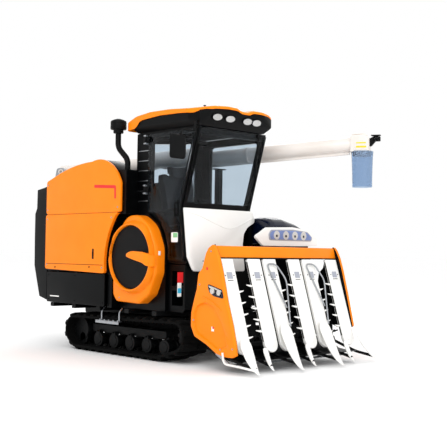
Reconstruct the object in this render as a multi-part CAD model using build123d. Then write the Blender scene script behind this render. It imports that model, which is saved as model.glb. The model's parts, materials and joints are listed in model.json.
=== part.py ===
"""Six-row head-feeding combine harvester on rubber crawler tracks.

Millimetres. +X is the machine's left, +Y its rear, +Z up. The origin is on the ground, in the
middle of the footprint. The machine is a tree of bodies: chassis, crop header, header lift
cylinder, auger turret, auger boom, boom cylinder, cab door and rotating radiator screen.
"""
from math import acos, asin, atan2, cos, degrees, hypot, pi, radians, sin, tan
import os

from build123d import *

# ---------------------------------------------------------------- driving dimensions
half_length = 2350          # divider tips to the middle of the machine; the chopper ends as far back
half_width = 1330           # out to the right mirror, and to the stowed auger's tip on the left
seat_gap = 0.3              # running clearance at pins, shafts and curved seats

# crawler tracks
track_gauge = 1470          # between the middles of the two belts
belt_width = 450
belt_thickness = 28
lug_height = 32
lug_root = 78               # lug length along the belt at its root
lug_tip = 46
lug_count = 34
roller_radius = 90
roller_count = 6
roller_front_y = -640
roller_rear_y = 960
roller_width = 200
sprocket_y, sprocket_z, sprocket_radius = -950, 300, 145
idler_y, idler_z, idler_radius = 1000, 250, 150
track_beam_width = 110
track_beam_low, track_beam_high = 235, 330

# chassis
rail_x = 380                # middle of each long rail
rail_width = 100
rail_front_y, rail_rear_y = -700, 1480
deck_low, deck_z = 520, 570  # outriggers under the body; every module stands on deck_z
deck_half_width = 1000
lashing_hole_radius = 20

# right side: tank, covers and engine bay
right_side_x = -1050        # outer face of the tank under its panels
panel_thickness = 40
tank_front_y, tank_rear_y = 30, 1500
tank_inner_x = -60
tank_roof_z = 2080
bay_plate_x = -900          # outer face of the engine bay cover
bay_top_z = 1680

# cooling screen
screen_y, screen_z = -318, 1175
screen_radius = 362
shoulder_x = -1040          # outer face of the housing's body
ring_face_x = -1115         # outer face of the raised ring round the screen
ring_root_radius, ring_face_radius = 425, 385

# cab
cab_right_x, cab_left_x = -860, 200
cab_rear_y = -120
cab_floor_z = 1100
cab_sill_z = 1740           # foot of the windscreen
cab_top_z = 2640
cab_front_low_y, cab_sill_y, cab_brow_y = -1052, -965, -1230
cab_wall = 50
glass_thickness = 8
front_panel_low_z = 1028
front_panel_thickness = 38
roof_skin = 24

# cab door
door_gap = 6
door_frame_thickness = 24
door_rear_y = -372
door_setback = 10           # from the cab's front wall back to the door's front edge
door_low_z, door_high_z = 1140, 2610
hinge_pin_radius = 8
hinge_barrel_radius = 16
hinge_heights = (1964, 2545)
handle_y = -910
handle_heights = (1640, 1800)

# thresher on the left
thresher_left_x = 1000
thresher_front_y = -480
thresher_rear_y = 1700
thresher_top_z = 1760
side_cover_thickness = 55

# crop header
header_pivot_y, header_pivot_z = -600, 1100
header_pivot_radius = 45
header_x = -20              # middle of the header
header_side_x = 970         # from its middle to the inner face of each side panel
header_panel_thickness = 38
row_pitch = 330
case_width = 196
case_depth = 38
case_low_y, case_low_z = -2005, 200
case_high_y, case_high_z = -1695, 1180
case_spread = (199, 443, 857)    # distances of the case middles from the header's middle
tip_height = 40
header_beam_y, header_beam_z, header_beam_radius = -1640, 235, 45
high_tube_y, high_tube_z = -1600, 1222
star_y, star_z = -1775, 330
knife_y = -1900

# unloading auger
auger_x, auger_y = -700, 1640
auger_pitch_z = 2285
auger_reach = 3990          # turning axis to the spout's middle
auger_heading = -61.6       # degrees from +X, seen from above
auger_climb = 4.2           # degrees up towards the spout
auger_radius = 92


# ---------------------------------------------------------------- helpers
upright = (Align.CENTER, Align.CENTER, Align.MIN)


def block(x0, x1, y0, y1, z0, z1):
    """A box between two corners."""
    return Pos((x0 + x1) / 2, (y0 + y1) / 2, (z0 + z1) / 2) * Box(x1 - x0, y1 - y0, z1 - z0)


def side_face(points, radius=0):
    """A face in the YZ plane from (y, z) corners, with rounded corners where radius is given."""
    corners = [(0, y, z) for y, z in points]
    if radius:
        return make_face(FilletPolyline(*corners, radius=radius, close=True))
    return make_face(Polyline(*corners, close=True))


def side_slab(points, x0, x1, radius=0, taper=0):
    """A side profile made solid between two x planes. It tapers towards x1."""
    return Pos(x0, 0, 0) * extrude(side_face(points, radius), x1 - x0 if x1 > x0 else x0 - x1,
                                   dir=(1 if x1 > x0 else -1, 0, 0), taper=taper)


def front_slab(points, y0, y1, radius=0):
    """A front profile of (x, z) corners made solid between two y planes."""
    corners = [(x, 0, z) for x, z in points]
    line = FilletPolyline(*corners, radius=radius, close=True) if radius else Polyline(*corners, close=True)
    return Pos(0, y0, 0) * extrude(make_face(line), y1 - y0, dir=(0, 1, 0))


def plan_slab(points, z0, z1, radius=0):
    """A plan of (x, y) corners made solid between two heights."""
    corners = [(x, y, 0) for x, y in points]
    line = FilletPolyline(*corners, radius=radius, close=True) if radius else Polyline(*corners, close=True)
    return Pos(0, 0, z0) * extrude(make_face(line), z1 - z0, dir=(0, 0, 1))


def rod(start, end, radius):
    """A round bar from one point to another."""
    a, b = Vector(*start), Vector(*end)
    bar_plane = Plane(origin=a, z_dir=b - a)
    return bar_plane * Cylinder(radius, (b - a).length, align=(Align.CENTER, Align.CENTER, Align.MIN))


def cross_rod(x0, x1, y, z, radius):
    """A round bar along X."""
    return rod((x0, y, z), (x1, y, z), radius)


def drum(x0, x1, y, z, radius, sides=16):
    """A many-sided bar along X, for rollers and tubes that nothing turns in."""
    return Pos(min(x0, x1), y, z) * extrude(Plane.YZ * RegularPolygon(radius, sides), abs(x1 - x0))


def bar(points, radius, sides=6):
    """A many-sided wire or pipe along points, mitred at its bends."""
    path = Polyline(*points)
    section = Plane(origin=path @ 0, z_dir=path % 0) * RegularPolygon(radius, sides)
    return sweep(section, path=path, transition=Transition.RIGHT)


def mirrored(shape):
    """The same piece on the other side of the centre plane."""
    return mirror(shape, about=Plane.YZ)


def lean(low, high):
    """Angle from the vertical of a line that leans back from low to high, in degrees."""
    return degrees(atan2(high[0] - low[0], high[1] - low[1]))


# ---------------------------------------------------------------- crawler tracks
belt_z = lug_height + belt_thickness          # inner face of the ground run
track_wheels = (                              # y, z, radius, in order round the belt
    (roller_front_y, belt_z + roller_radius, roller_radius),
    (roller_rear_y, belt_z + roller_radius, roller_radius),
    (idler_y, idler_z, idler_radius),
    (sprocket_y, sprocket_z, sprocket_radius),
)


def belt_wire(offset):
    """The closed line that runs round the wheels at a distance from their rims."""
    wheels = [(y, z, r + offset) for y, z, r in track_wheels]
    normals = []
    for (y0, z0, r0), (y1, z1, r1) in zip(wheels, wheels[1:] + wheels[:1]):
        span = hypot(y1 - y0, z1 - z0)
        normals.append(atan2(z1 - z0, y1 - y0) - acos((r0 - r1) / span))
    edges = []
    for k, (y, z, r) in enumerate(wheels):
        arrive, leave = normals[k - 1], normals[k]
        if leave < arrive:
            leave += 2 * pi
        rim = [(0, y + r * cos(a), z + r * sin(a)) for a in (arrive, (arrive + leave) / 2, leave)]
        ahead_y, ahead_z, ahead_r = wheels[(k + 1) % len(wheels)]
        edges.append(ThreePointArc(*rim))
        edges.append(Line(rim[2], (0, ahead_y + ahead_r * cos(normals[k]), ahead_z + ahead_r * sin(normals[k]))))
    return Wire(edges)


def track_belt():
    """One rubber belt with its lugs, centred on x = 0."""
    outer, inner = belt_wire(belt_thickness), belt_wire(0)
    band = extrude(make_face(outer) - make_face(inner), belt_width, dir=(1, 0, 0))
    sunk = 6
    lug = extrude(make_face(Polyline((-lug_root / 2, sunk), (lug_root / 2, sunk), (lug_root / 2, 0),
                                     (lug_tip / 2, -lug_height), (-lug_tip / 2, -lug_height),
                                     (-lug_root / 2, 0), close=True)), belt_width)
    lugs = []
    for k in range(lug_count):
        here, along = outer.position_at(k / lug_count), outer.tangent_at(k / lug_count)
        lugs.append(Plane(origin=here, x_dir=along, z_dir=(1, 0, 0)) * lug)
    return Pos(-belt_width / 2, 0, 0) * (band + lugs)


def track_frame():
    """Beam with its ground rollers, idler and carrier roller, centred on x = 0."""
    half = track_beam_width / 2
    frame = side_slab([(sprocket_y + 320, track_beam_low + 20), (sprocket_y + 380, track_beam_low),
                       (idler_y - 190, track_beam_low), (idler_y - 190, track_beam_high),
                       (sprocket_y + 320, track_beam_high)], -half, half)
    axle_z = belt_z + roller_radius
    step = (roller_rear_y - roller_front_y) / (roller_count - 1)
    for k in range(roller_count):
        y = roller_front_y + k * step
        if y < sprocket_y + 320 or y > idler_y - 190:
            continue
        frame += block(-15, 15, y - 35, y + 35, axle_z, track_beam_low)
    for k in range(roller_count):
        y = roller_front_y + k * step
        frame += drum(-roller_width / 2, roller_width / 2, y, axle_z, roller_radius - seat_gap, sides=14)
    frame += block(-40, 40, roller_front_y - 20, sprocket_y + 340, axle_z - 20, track_beam_low + 30)
    frame += block(-40, 40, idler_y - 200, idler_y, idler_z - 30, idler_z + 30)
    frame += drum(-roller_width / 2, roller_width / 2, idler_y, idler_z, idler_radius - seat_gap, sides=18)
    return frame


def drive_sprocket():
    """Toothed wheel with a hub that reaches in to its axle, centred on x = 0."""
    teeth = 11
    tip, valley = sprocket_radius - seat_gap, sprocket_radius - 20
    rim = []
    for k in range(teeth):
        middle = 2 * pi * k / teeth
        for turn, r in ((-0.20, valley), (-0.11, tip), (0.11, tip), (0.20, valley)):
            rim.append((r * cos(middle + turn), r * sin(middle + turn)))
    wheel = extrude(Plane.YZ * make_face(Polyline(*rim, close=True)), 35, both=True)
    wheel += drum(-95, 60, 0, 0, 62)
    return Pos(0, sprocket_y, sprocket_z) * wheel


# ---------------------------------------------------------------- chassis
def chassis_frame():
    """Long rails, cross beams to the track frames, outriggers and the header's pivot brackets."""
    half_rail = rail_width / 2
    beam_inner = track_gauge / 2 - track_beam_width / 2
    frame = Part()
    for side in (-1, 1):
        frame += block(side * rail_x - half_rail, side * rail_x + half_rail, rail_front_y, rail_rear_y,
                       track_beam_high - 20, deck_low)
    for y in (-450, 250, 700):
        frame += block(-beam_inner, beam_inner, y - 45, y + 45, track_beam_low + 5, track_beam_high - 5)
    for y in (-660, -150, 420, 940, 1430):
        frame += block(-deck_half_width, deck_half_width, y - 40, y + 40, deck_low, deck_z)
    for side in (-1, 1):
        x = side * rail_x
        eye = side_slab([(rail_rear_y - 5, 400), (rail_rear_y + 50, 400), (rail_rear_y + 80, 430), (rail_rear_y + 80, 470),
                         (rail_rear_y + 50, 500), (rail_rear_y - 5, 500)], x - 12, x + 12)
        frame += eye - cross_rod(x - 20, x + 20, rail_rear_y + 40, 450, lashing_hole_radius)
    for x in pivot_bracket_x:
        ear = side_slab([(-700, deck_low), (-500, deck_low), (-530, header_pivot_z + 75), (-670, header_pivot_z + 75)],
                        x - 20, x + 20)
        frame += ear - cross_rod(x - 30, x + 30, header_pivot_y, header_pivot_z, header_pivot_radius + seat_gap)
    frame += block(rail_x - 35, rail_x + 35, lift_base_y - 30, rail_front_y, lift_base_z - 45, lift_base_z + 45) \
        - block(rail_x - 18, rail_x + 18, lift_base_y - 40, lift_base_y + 50, lift_base_z - 60, lift_base_z + 60)
    frame += cross_rod(rail_x - 30, rail_x + 30, lift_base_y, lift_base_z, lift_pin_radius)
    return frame


def transmission():
    """Gearbox between the tracks with an axle housing out to each sprocket hub."""
    case = side_slab([(-1080, 260), (-1040, 200), (-860, 200), (rail_front_y, 330), (rail_front_y, deck_z - 5),
                      (-1020, deck_z - 5), (-1080, 500)], -210, 210)
    hub_inner = track_gauge / 2 - 95
    case += drum(-hub_inner, hub_inner, sprocket_y, sprocket_z, 58, sides=12)
    for side in (-1, 1):
        case += drum(side * (hub_inner - 40), side * hub_inner, sprocket_y, sprocket_z, 88, sides=20)
    case += block(-rail_x - 50, rail_x + 50, rail_front_y - 60, rail_front_y, 430, 510)
    return case - block(rail_x - 60, rail_x + 60, rail_front_y - 70, rail_front_y + 10, 300, 600)


def engine():
    """The engine, one block between the deck and the cab floor."""
    return block(-840, -60, -680, cab_rear_y - 10, deck_z, cab_floor_z - 10)


# ---------------------------------------------------------------- right side
def tank_panel_face():
    """Outline of the tank's side panels, from the skirt to the domed top."""
    crown = (480, 2335)
    return make_face([
        Line((0, 1480, 1005), (0, 1480, 2128)),
        Line((0, 1480, 2128), (0, 877, 2296)),
        ThreePointArc((0, 877, 2296), (0, 690, 2326), (0, *crown)),
        ThreePointArc((0, *crown), (0, 60, 2258), (0, -105, 2050)),
        Line((0, -105, 2050), (0, -105, 1716)),
        Line((0, -105, 1716), (0, -20, 1666)),
        ThreePointArc((0, -20, 1666), (0, 145, 1380), (0, 194, 1090)),
        Line((0, 194, 1090), (0, 185, 975)),
        Line((0, 185, 975), (0, 1480, 1005)),
    ])


panel_seam_z = 1700


def tank_side_panels():
    """Upper and lower orange panels with a proud lip along their seam and a latch slot."""
    outline = Pos(right_side_x, 0, 0) * extrude(tank_panel_face(), panel_thickness, dir=(-1, 0, 0))
    outer = right_side_x - panel_thickness
    upper = outline & block(outer - 10, right_side_x + 10, -500, 1600, panel_seam_z, 2500)
    lower = outline & block(outer - 10, right_side_x + 10, -500, 1600, 900, panel_seam_z - 6)
    upper = chamfer(upper.faces().sort_by(Axis.X)[0].edges(), 14)
    lower = chamfer(lower.faces().sort_by(Axis.X)[0].edges(), 14)
    lower -= block(outer - 5, outer + 18, 402, 438, 1143, 1268)
    lower -= block(outer - 5, outer + 3, 190, 1475, 1070, 1076)
    return [upper, lower]


def grain_tank():
    """Tank body with its domed flank, and the black skirt below the panels."""
    body = block(right_side_x, tank_inner_x, 190, tank_rear_y, deck_z, tank_roof_z)
    body += block(right_side_x, tank_inner_x, tank_front_y, 200, bay_top_z, tank_roof_z)
    flank = Pos(right_side_x, 0, 0) * extrude(tank_panel_face(), 230, dir=(1, 0, 0))
    body += flank & block(right_side_x, right_side_x + 230, tank_front_y, 1480, tank_roof_z - 60, 2400)
    body += block(right_side_x - 20, right_side_x, 200, 1457, deck_z + 10, 968)
    for y in (1093, 1475):
        body += block(right_side_x - 20, right_side_x + 20, y - 30, y + 30, 500, deck_z)
    hopper = front_slab([(-700, tank_roof_z), (-120, tank_roof_z), (-180, tank_roof_z + 38), (-640, tank_roof_z + 38)],
                        500, 1250)
    return body + hopper


rear_cover_points = [(tank_rear_y, 600), (tank_rear_y + 222, 640), (tank_rear_y + 359, 1043), (tank_rear_y + 366, 1722),
                     (tank_rear_y + 323, 1793), (tank_rear_y + 319, tank_roof_z - 42), (tank_rear_y, tank_roof_z)]


def tank_rear_cover():
    """Black cover round the foot of the unloading auger, with cut corners."""
    rear = tank_rear_y + 366
    plan = [(right_side_x, tank_rear_y), (right_side_x, rear - 50), (right_side_x + 50, rear), (-200, rear),
            (-150, rear - 50), (-150, tank_rear_y)]
    return side_slab(rear_cover_points, right_side_x, -150) & plan_slab(plan, 500, 2200)


def engine_bay_cover():
    """Black plate behind the cooling screen, its return behind the cab and the air duct above."""
    plate = side_slab([(-730, deck_z), (-730, 1300), (-610, 1545), (-400, bay_top_z), (190, bay_top_z), (190, deck_z)],
                      bay_plate_x, cab_right_x)
    room = block(cab_right_x, tank_inner_x, cab_rear_y, 190, deck_z, bay_top_z)
    step = block(right_side_x + 20, bay_plate_x, screen_y + screen_radius + 60, 190, deck_z, bay_top_z)
    duct = block(-1045, -868, -160, tank_front_y, bay_top_z, 2200)
    return plate + room + step + duct


housing_outline = [(-708, 1000), (-708, 1290), (-590, 1535), (-380, 1664), (-174, 1661), (-1, 1461), (85, 1155),
                   (77, 722), (15, 652), (-420, 640), (-590, 750)]


def screen_housing():
    """Orange moulding with a raised ring round the opening for the rotating screen."""
    body = side_slab(housing_outline, bay_plate_x, shoulder_x, radius=60)
    body = chamfer(body.faces().sort_by(Axis.X)[0].edges(), 14)
    rings = [Pos(x, screen_y, screen_z) * (Plane.YZ * RegularPolygon(radius, 40))
             for x, radius in ((shoulder_x, ring_root_radius), (ring_face_x, ring_face_radius))]
    body += loft(rings, ruled=True) & side_slab(housing_outline, shoulder_x, ring_face_x, taper=18)
    return body - drum(ring_face_x - 5, bay_plate_x + 5, screen_y, screen_z, screen_radius + 8, sides=40)


def screen_arm():
    """Suction duct that reaches from the housing's front shoulder to the middle of the screen."""
    duct = side_slab([(-718, 1070), (-718, 1195), (-598, 1238), (-405, 1246), (-303, 1217), (-300, 1181), (-388, 1158),
                      (-621, 1109)], shoulder_x, ring_face_x - 36)
    strip = plan_slab([(ring_face_x - 7, -290), (ring_face_x - 36, -290), (ring_face_x - 36, -662), (ring_face_x - 5, -684),
                       (shoulder_x - 43, -705), (shoulder_x - 2, -716), (shoulder_x - 2, -704),
                       (ring_face_x - 7, -669)], 1000, 1300)
    return (duct & strip) - screen_housing()


def screen_disc():
    """Round perforated screen with its rim and hub shaft."""
    x0 = ring_face_x + 30
    dish = drum(x0, x0 + 30, screen_y, screen_z, screen_radius, sides=40)
    dish -= drum(x0 - 1, x0 + 12, screen_y, screen_z, screen_radius - 12, sides=40)
    return dish + drum(x0 + 29, bay_plate_x - seat_gap, screen_y, screen_z, 34)


# ---------------------------------------------------------------- cab
def cab_base():
    """Black structure under the cab's front with two boarding steps."""
    base = side_slab([(-1020, deck_z + 30), (-990, deck_z), (-690, deck_z), (-690, cab_floor_z), (-1020, cab_floor_z)],
                     cab_right_x, cab_left_x)
    for low in (640, 860):
        base -= block(cab_right_x - 5, cab_right_x + 190, -990, -800, low, low + 170)
    return base


cab_profile = [(cab_front_low_y, cab_floor_z), (cab_sill_y, cab_sill_z), (cab_brow_y, cab_top_z),
               (cab_rear_y, cab_top_z), (cab_rear_y, cab_floor_z)]


def screen_line(z):
    """Station of the cab's front wall at a height."""
    if z < cab_sill_z:
        return cab_sill_y + (cab_sill_z - z) * (cab_front_low_y - cab_sill_y) / (cab_sill_z - cab_floor_z)
    return cab_sill_y + (z - cab_sill_z) * (cab_brow_y - cab_sill_y) / (cab_top_z - cab_sill_z)


def cab_plan_trim(x1):
    """Plan of the cab with its rear left corner cut off, to clear the stowed auger."""
    return [(cab_right_x, -1400), (x1, -1400), (x1, cab_rear_y - 100), (x1 - 90, cab_rear_y), (cab_right_x, cab_rear_y)]


def cab_frame():
    """Hollow cab shell with pillars, and the openings for door and windows."""
    w = cab_wall
    shell = side_slab(cab_profile, cab_right_x, cab_left_x) & plan_slab(cab_plan_trim(cab_left_x), 1000, cab_top_z + 60)
    inside = side_slab([(cab_front_low_y + w, cab_floor_z + 40), (cab_sill_y + w, cab_sill_z),
                        (cab_brow_y + w + 20, cab_top_z - w), (cab_rear_y - w, cab_top_z - w),
                        (cab_rear_y - w, cab_floor_z + 40)], cab_right_x + w, cab_left_x - w)
    shell -= inside & plan_slab(cab_plan_trim(cab_left_x - w), 1000, cab_top_z + 60)
    sill, head = cab_sill_z + 100, cab_top_z - 80
    front = side_slab([(screen_line(sill) - 60, sill), (screen_line(sill) + 260, sill), (screen_line(head) + 260, head),
                       (screen_line(head) - 60, head)], cab_right_x + 60, cab_left_x - 60)
    left = side_slab([(-870, cab_sill_z + 60), (-290, cab_sill_z + 60), (-290, cab_top_z - 90), (-1100, cab_top_z - 90)],
                     cab_left_x - 70, cab_left_x + 10)
    rear = front_slab([(-720, 1880), (30, 1880), (30, cab_top_z - 120), (-720, cab_top_z - 120)],
                      cab_rear_y - 70, cab_rear_y + 10, radius=60)
    doorway = side_slab(door_outline(40), cab_right_x - 10, cab_right_x + 70)
    shell = shell - front - left - rear - doorway
    for z in hinge_heights:
        for end in (-1, 1):
            shell += hinge_ear(z + end * 46)
        shell += rod((hinge_x, hinge_y, z - 54), (hinge_x, hinge_y, z + 54), hinge_pin_radius)
    return shell


hinge_x = cab_right_x - door_gap - door_frame_thickness - 22
hinge_y = door_rear_y + 26


def hinge_ear(z):
    """One ear of the cab-side hinge, from the rear pillar out to the pin."""
    return block(hinge_x - 14, cab_right_x, hinge_y - 14, hinge_y + 34, z - 10, z + 10)


def door_outline(inset):
    """Door corners in side view, drawn in by a distance. The rear foot follows the screen housing."""
    i = inset
    low, high = door_low_z + i, door_high_z - i
    front = [(screen_line(z) + door_setback + i, z) for z in (high, cab_sill_z, low)]
    foot = [(-752 - i, low), (-750 - i, 1290), (-700 - i, 1440 + 0.5 * i), (-600 - 0.7 * i, 1600 + 0.8 * i),
            (-510 - 0.3 * i, 1695 + i), (door_rear_y - i, 1700 + i)]
    return front + foot + [(door_rear_y - i, high)]


def door_frame():
    """Black door frame with hinge barrels, window rim and pull handle."""
    inner = cab_right_x - door_gap
    outer = inner - door_frame_thickness
    frame = side_slab(door_outline(0), outer, inner)
    frame -= side_slab(door_outline(55), outer - 1, inner + 1)
    for z in hinge_heights:
        leaf = block(hinge_x - 6, inner, door_rear_y - 40, hinge_y, z - 34, z + 34)
        frame += leaf - block(outer, inner + 1, door_rear_y, hinge_y + 30, z - 40, z + 40)
        frame += rod((hinge_x, hinge_y, z - 34), (hinge_x, hinge_y, z + 34), hinge_barrel_radius)
        frame -= rod((hinge_x, hinge_y, z - 40), (hinge_x, hinge_y, z + 40), hinge_pin_radius + seat_gap)
    face = outer - glass_thickness
    frame += block(outer, inner, handle_y - 15, handle_y + 15, 1600, 1840)
    for z in handle_heights:
        frame += block(face - 42, outer, handle_y - 15, handle_y + 15, z - 8, z + 8)
    return frame + block(face - 42, face - 28, handle_y - 15, handle_y + 15, handle_heights[0] - 8, handle_heights[1] + 8)


def door_glass():
    """Glass over the whole door, outside its frame."""
    face = cab_right_x - door_gap - door_frame_thickness
    pane = side_slab(door_outline(8), face - glass_thickness, face)
    for z in handle_heights:
        pane -= block(face - 20, face + 5, handle_y - 19, handle_y + 19, z - 12, z + 12)
    for z in hinge_heights:
        pane -= block(face - 20, face + 5, door_rear_y - 44, door_rear_y + 5, z - 38, z + 38)
    return pane


def cab_glass():
    """Windscreen, left window and rear window, each outside the frame."""
    t = glass_thickness
    low, high = cab_sill_z + 58, cab_top_z - 4
    windscreen = side_slab([(screen_line(low) - t, low), (screen_line(low), low), (screen_line(high), high),
                            (screen_line(high) - t, high)], cab_right_x + 4, cab_left_x - 4)
    left = side_slab([(-905, cab_sill_z + 25), (-255, cab_sill_z + 25), (-255, cab_top_z - 55), (-1160, cab_top_z - 55)],
                     cab_left_x, cab_left_x + t)
    rear = front_slab([(-755, 1845), (65, 1845), (65, cab_top_z - 85), (-755, cab_top_z - 85)],
                      cab_rear_y, cab_rear_y + t, radius=80)
    return [windscreen, left, rear]


def front_panel():
    """White panel under the windscreen, cut away on its left to clear the header's hood."""
    tilt = lean((cab_front_low_y, cab_floor_z), (cab_sill_y, cab_sill_z))
    top, low = 0, -(cab_sill_z - front_panel_low_z)
    face = make_face([
        Line((cab_right_x, top), (cab_left_x + 8, top)),
        Line((cab_left_x + 8, top), (cab_left_x + 45, top - 125)),
        ThreePointArc((cab_left_x + 45, top - 125), (60, top - 220), (0, top - 390)),
        Line((0, top - 390), (0, low)),
        Line((0, low), (cab_right_x + 70, low)),
        Line((cab_right_x + 70, low), (cab_right_x, low + 160)),
        Line((cab_right_x, low + 160), (cab_right_x, top)),
    ])
    up = Vector(0, sin(radians(tilt)), cos(radians(tilt)))
    plane = Plane(origin=(0, cab_sill_y, cab_sill_z), x_dir=(1, 0, 0), z_dir=Vector(1, 0, 0).cross(up))
    return extrude(plane * face, front_panel_thickness)


def roof_plan(inset):
    """Roof corners in plan, drawn in by a distance."""
    i = inset
    return [(-955 + i, -20 - i), (-955 + i, -1120), (-905 + i, -1275), (-790 + i, -1345), (40 - i, -1345),
            (225 - i, -1285), (262 - i, -1080), (200 - i, -240), (70 - i, -20 - i)]


# the crown across the roof: x, rise above the side edge
roof_crown = ((-955, 0), (-864, 24), (-732, 52), (-536, 68), (-382, 65), (-334, 37), (-191, 37), (-143, 65), (10, 66),
              (160, 45), (262, 0))
# along the roof: y, side edge above the cab's top, share of the crown
roof_stations = ((-1350, 158, 1.0), (-1317, 172, 1.0), (-817, 210, 0.5), (-462, 214, 0.4), (-204, 188, 0.3),
                 (-20, 120, 0.2))
# lower edge of the roof shell in side view: y, height above the cab's top
roof_band = ((-1350, 118), (-1286, 126), (-989, 147), (-643, 155), (-299, 132), (-235, 104), (-208, 48), (-10, 27))


def roof_volume(drop, inset):
    """Everything under the roof's top, which is lowered and drawn in by a distance."""
    sections = []
    for y, edge, share in roof_stations:
        top = [(x, y, cab_top_z + edge + share * rise - drop) for x, rise in roof_crown]
        foot = [(roof_crown[-1][0], y, cab_top_z), (roof_crown[0][0], y, cab_top_z)]
        sections.append(make_face(Polyline(*top, *foot, close=True)))
    volume = loft(sections, ruled=True)
    return volume & plan_slab(roof_plan(inset), cab_top_z - 10, cab_top_z + 400, radius=0 if inset else 40)


def roof_cap():
    """Orange roof shell, thin at its front and along its sides and deep at the rear."""
    band = [(y, cab_top_z + z) for y, z in roof_band]
    above = side_slab(band + [(-10, cab_top_z + 400), (-1350, cab_top_z + 400)], -1000, 300)
    return (roof_volume(0, 0) & above) - roof_volume(roof_skin, 14)


def roof_liner():
    """Black brow and liner between the cab's top and the roof shell."""
    brow = side_slab([(-1350, cab_top_z + 205), (-1296, cab_top_z + 78), (-1245, cab_top_z + 15), (-1235, cab_top_z),
                      (-140, cab_top_z), (-40, cab_top_z + 100), (-40, cab_top_z + 400), (-1350, cab_top_z + 400)],
                     -1000, 300)
    return roof_volume(roof_skin, 14) & brow


lamp_xs = (-678, -481, -207, -61)


def roof_lamps():
    """Four oval work lamps in the brow."""
    tilt = radians(24)
    liner = roof_liner()
    lamps = []
    for x in lamp_xs:
        place = Plane(origin=(x, -1275, cab_top_z + 118), x_dir=(1, 0, 0), z_dir=(0, -cos(tilt), -sin(tilt)))
        rim = [(70 * cos(2 * pi * k / 16), 37 * sin(2 * pi * k / 16)) for k in range(16)]
        lamps.append(extrude(place * make_face(Polyline(*rim, close=True)), 52) - liner)
    return lamps


def seat():
    """Operator's seat on its box."""
    stand = block(-560, -100, -560, cab_rear_y - cab_wall - 20, cab_floor_z + 40, 1480)
    cushion = side_slab([(-640, 1480), (-640, 1580), (-250, 1560), (-250, 1480)], -560, -100, radius=30)
    back = side_slab([(-330, 1560), (-250, 1560), (-190, 2150), (-260, 2170)], -540, -120, radius=25)
    return stand + cushion + back


def controls():
    """Side console, dashboard and steering lever."""
    console = side_slab([(-900, cab_floor_z + 40), (-900, 1560), (-600, 1640), (-250, 1640), (-250, cab_floor_z + 40)], -60, 140)
    dash = side_slab([(-955, cab_floor_z + 40), (-892, 1690), (-810, 1730), (-800, cab_floor_z + 40)], -560, -200, radius=20)
    dash += rod((-380, -850, 1690), (-380, -780, 1830), 16)
    dash += block(-480, -280, -795, -765, 1815, 1850)
    return [console, dash]


def mirrors():
    """Right mirror on a bent arm from the roof brow."""
    y = -1292
    arm = bar([(-870, -1190, cab_top_z + 22), (-979, y, cab_top_z + 22), (-998, y, 2555), (-1168, y, 2555),
               (-1205, y, 2480)], 11)
    head = front_slab([(-half_width, 2240), (-half_width, 2492), (-half_width + 211, 2492), (-half_width + 211, 2240)],
                      y - 22, y + 22, radius=45)
    return head + arm - roof_liner()


def air_precleaner():
    """Mushroom air precleaner on a bent intake pipe."""
    x, y = -992, 82
    pipe = bar([(-960, -70, 2200), (-960, -70, 2330), (x, y, 2480), (x, y, 2655)], 34, sides=10)
    bowl = Pos(x, y, 2650) * extrude(RegularPolygon(60, 20), 40)
    bowl += Pos(x, y, 2690) * extrude(RegularPolygon(96, 20), 100)
    bowl += Pos(x, y, 2790) * extrude(RegularPolygon(96, 20), 34, taper=36)
    return pipe + bowl


# ---------------------------------------------------------------- thresher
def thresher_body():
    """Threshing unit on the left and its part behind the cab."""
    left = side_slab([(thresher_front_y, deck_z), (thresher_front_y, 1300), (-330, 1560), (-150, 1680),
                      (900, thresher_top_z), (1500, thresher_top_z - 60), (thresher_rear_y, 1600),
                      (thresher_rear_y, deck_z)], 260, thresher_left_x)
    behind = side_slab([(200, deck_z), (200, 1640), (900, thresher_top_z), (1500, thresher_top_z - 60),
                        (thresher_rear_y, 1600), (thresher_rear_y, deck_z)], tank_inner_x, 270)
    return left + behind


def auger_rest():
    """Post on the thresher with a one-sided cradle under the stowed auger."""
    x, y, z = boom_point(2170, -auger_radius - 36)
    post = block(x - 30, x + 30, y - 40, y + 40, 1500, z - 12) + block(x - 90, x + 90, y - 40, y + 40, z - 24, z - 12)
    return post - thresher_body()


def thresher_side_cover():
    """Orange upper cover and dark lower panel on the left side."""
    x = thresher_left_x
    cover = side_slab([(-420, 1290), (-300, 1530), (-140, 1650), (900, 1730), (1440, 1670), (1640, 1560), (1640, 1290)],
                      x, x + side_cover_thickness, radius=40)
    lower = side_slab([(-420, 600), (-420, 1000), (1640, 1000), (1640, 700), (1560, 600)], x, x + 35, radius=30)
    for k in range(6):
        lower -= block(x + 20, x + 40, 900, 1500, 700 + 45 * k, 718 + 45 * k)
    return [chamfer(cover.faces().sort_by(Axis.X)[-1].edges(), 12), lower]


feed_wheels = ((-560, 1105, 42), (1600, 1105, 42))
feed_x0, feed_x1 = thresher_left_x + 8, thresher_left_x + 40


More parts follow.
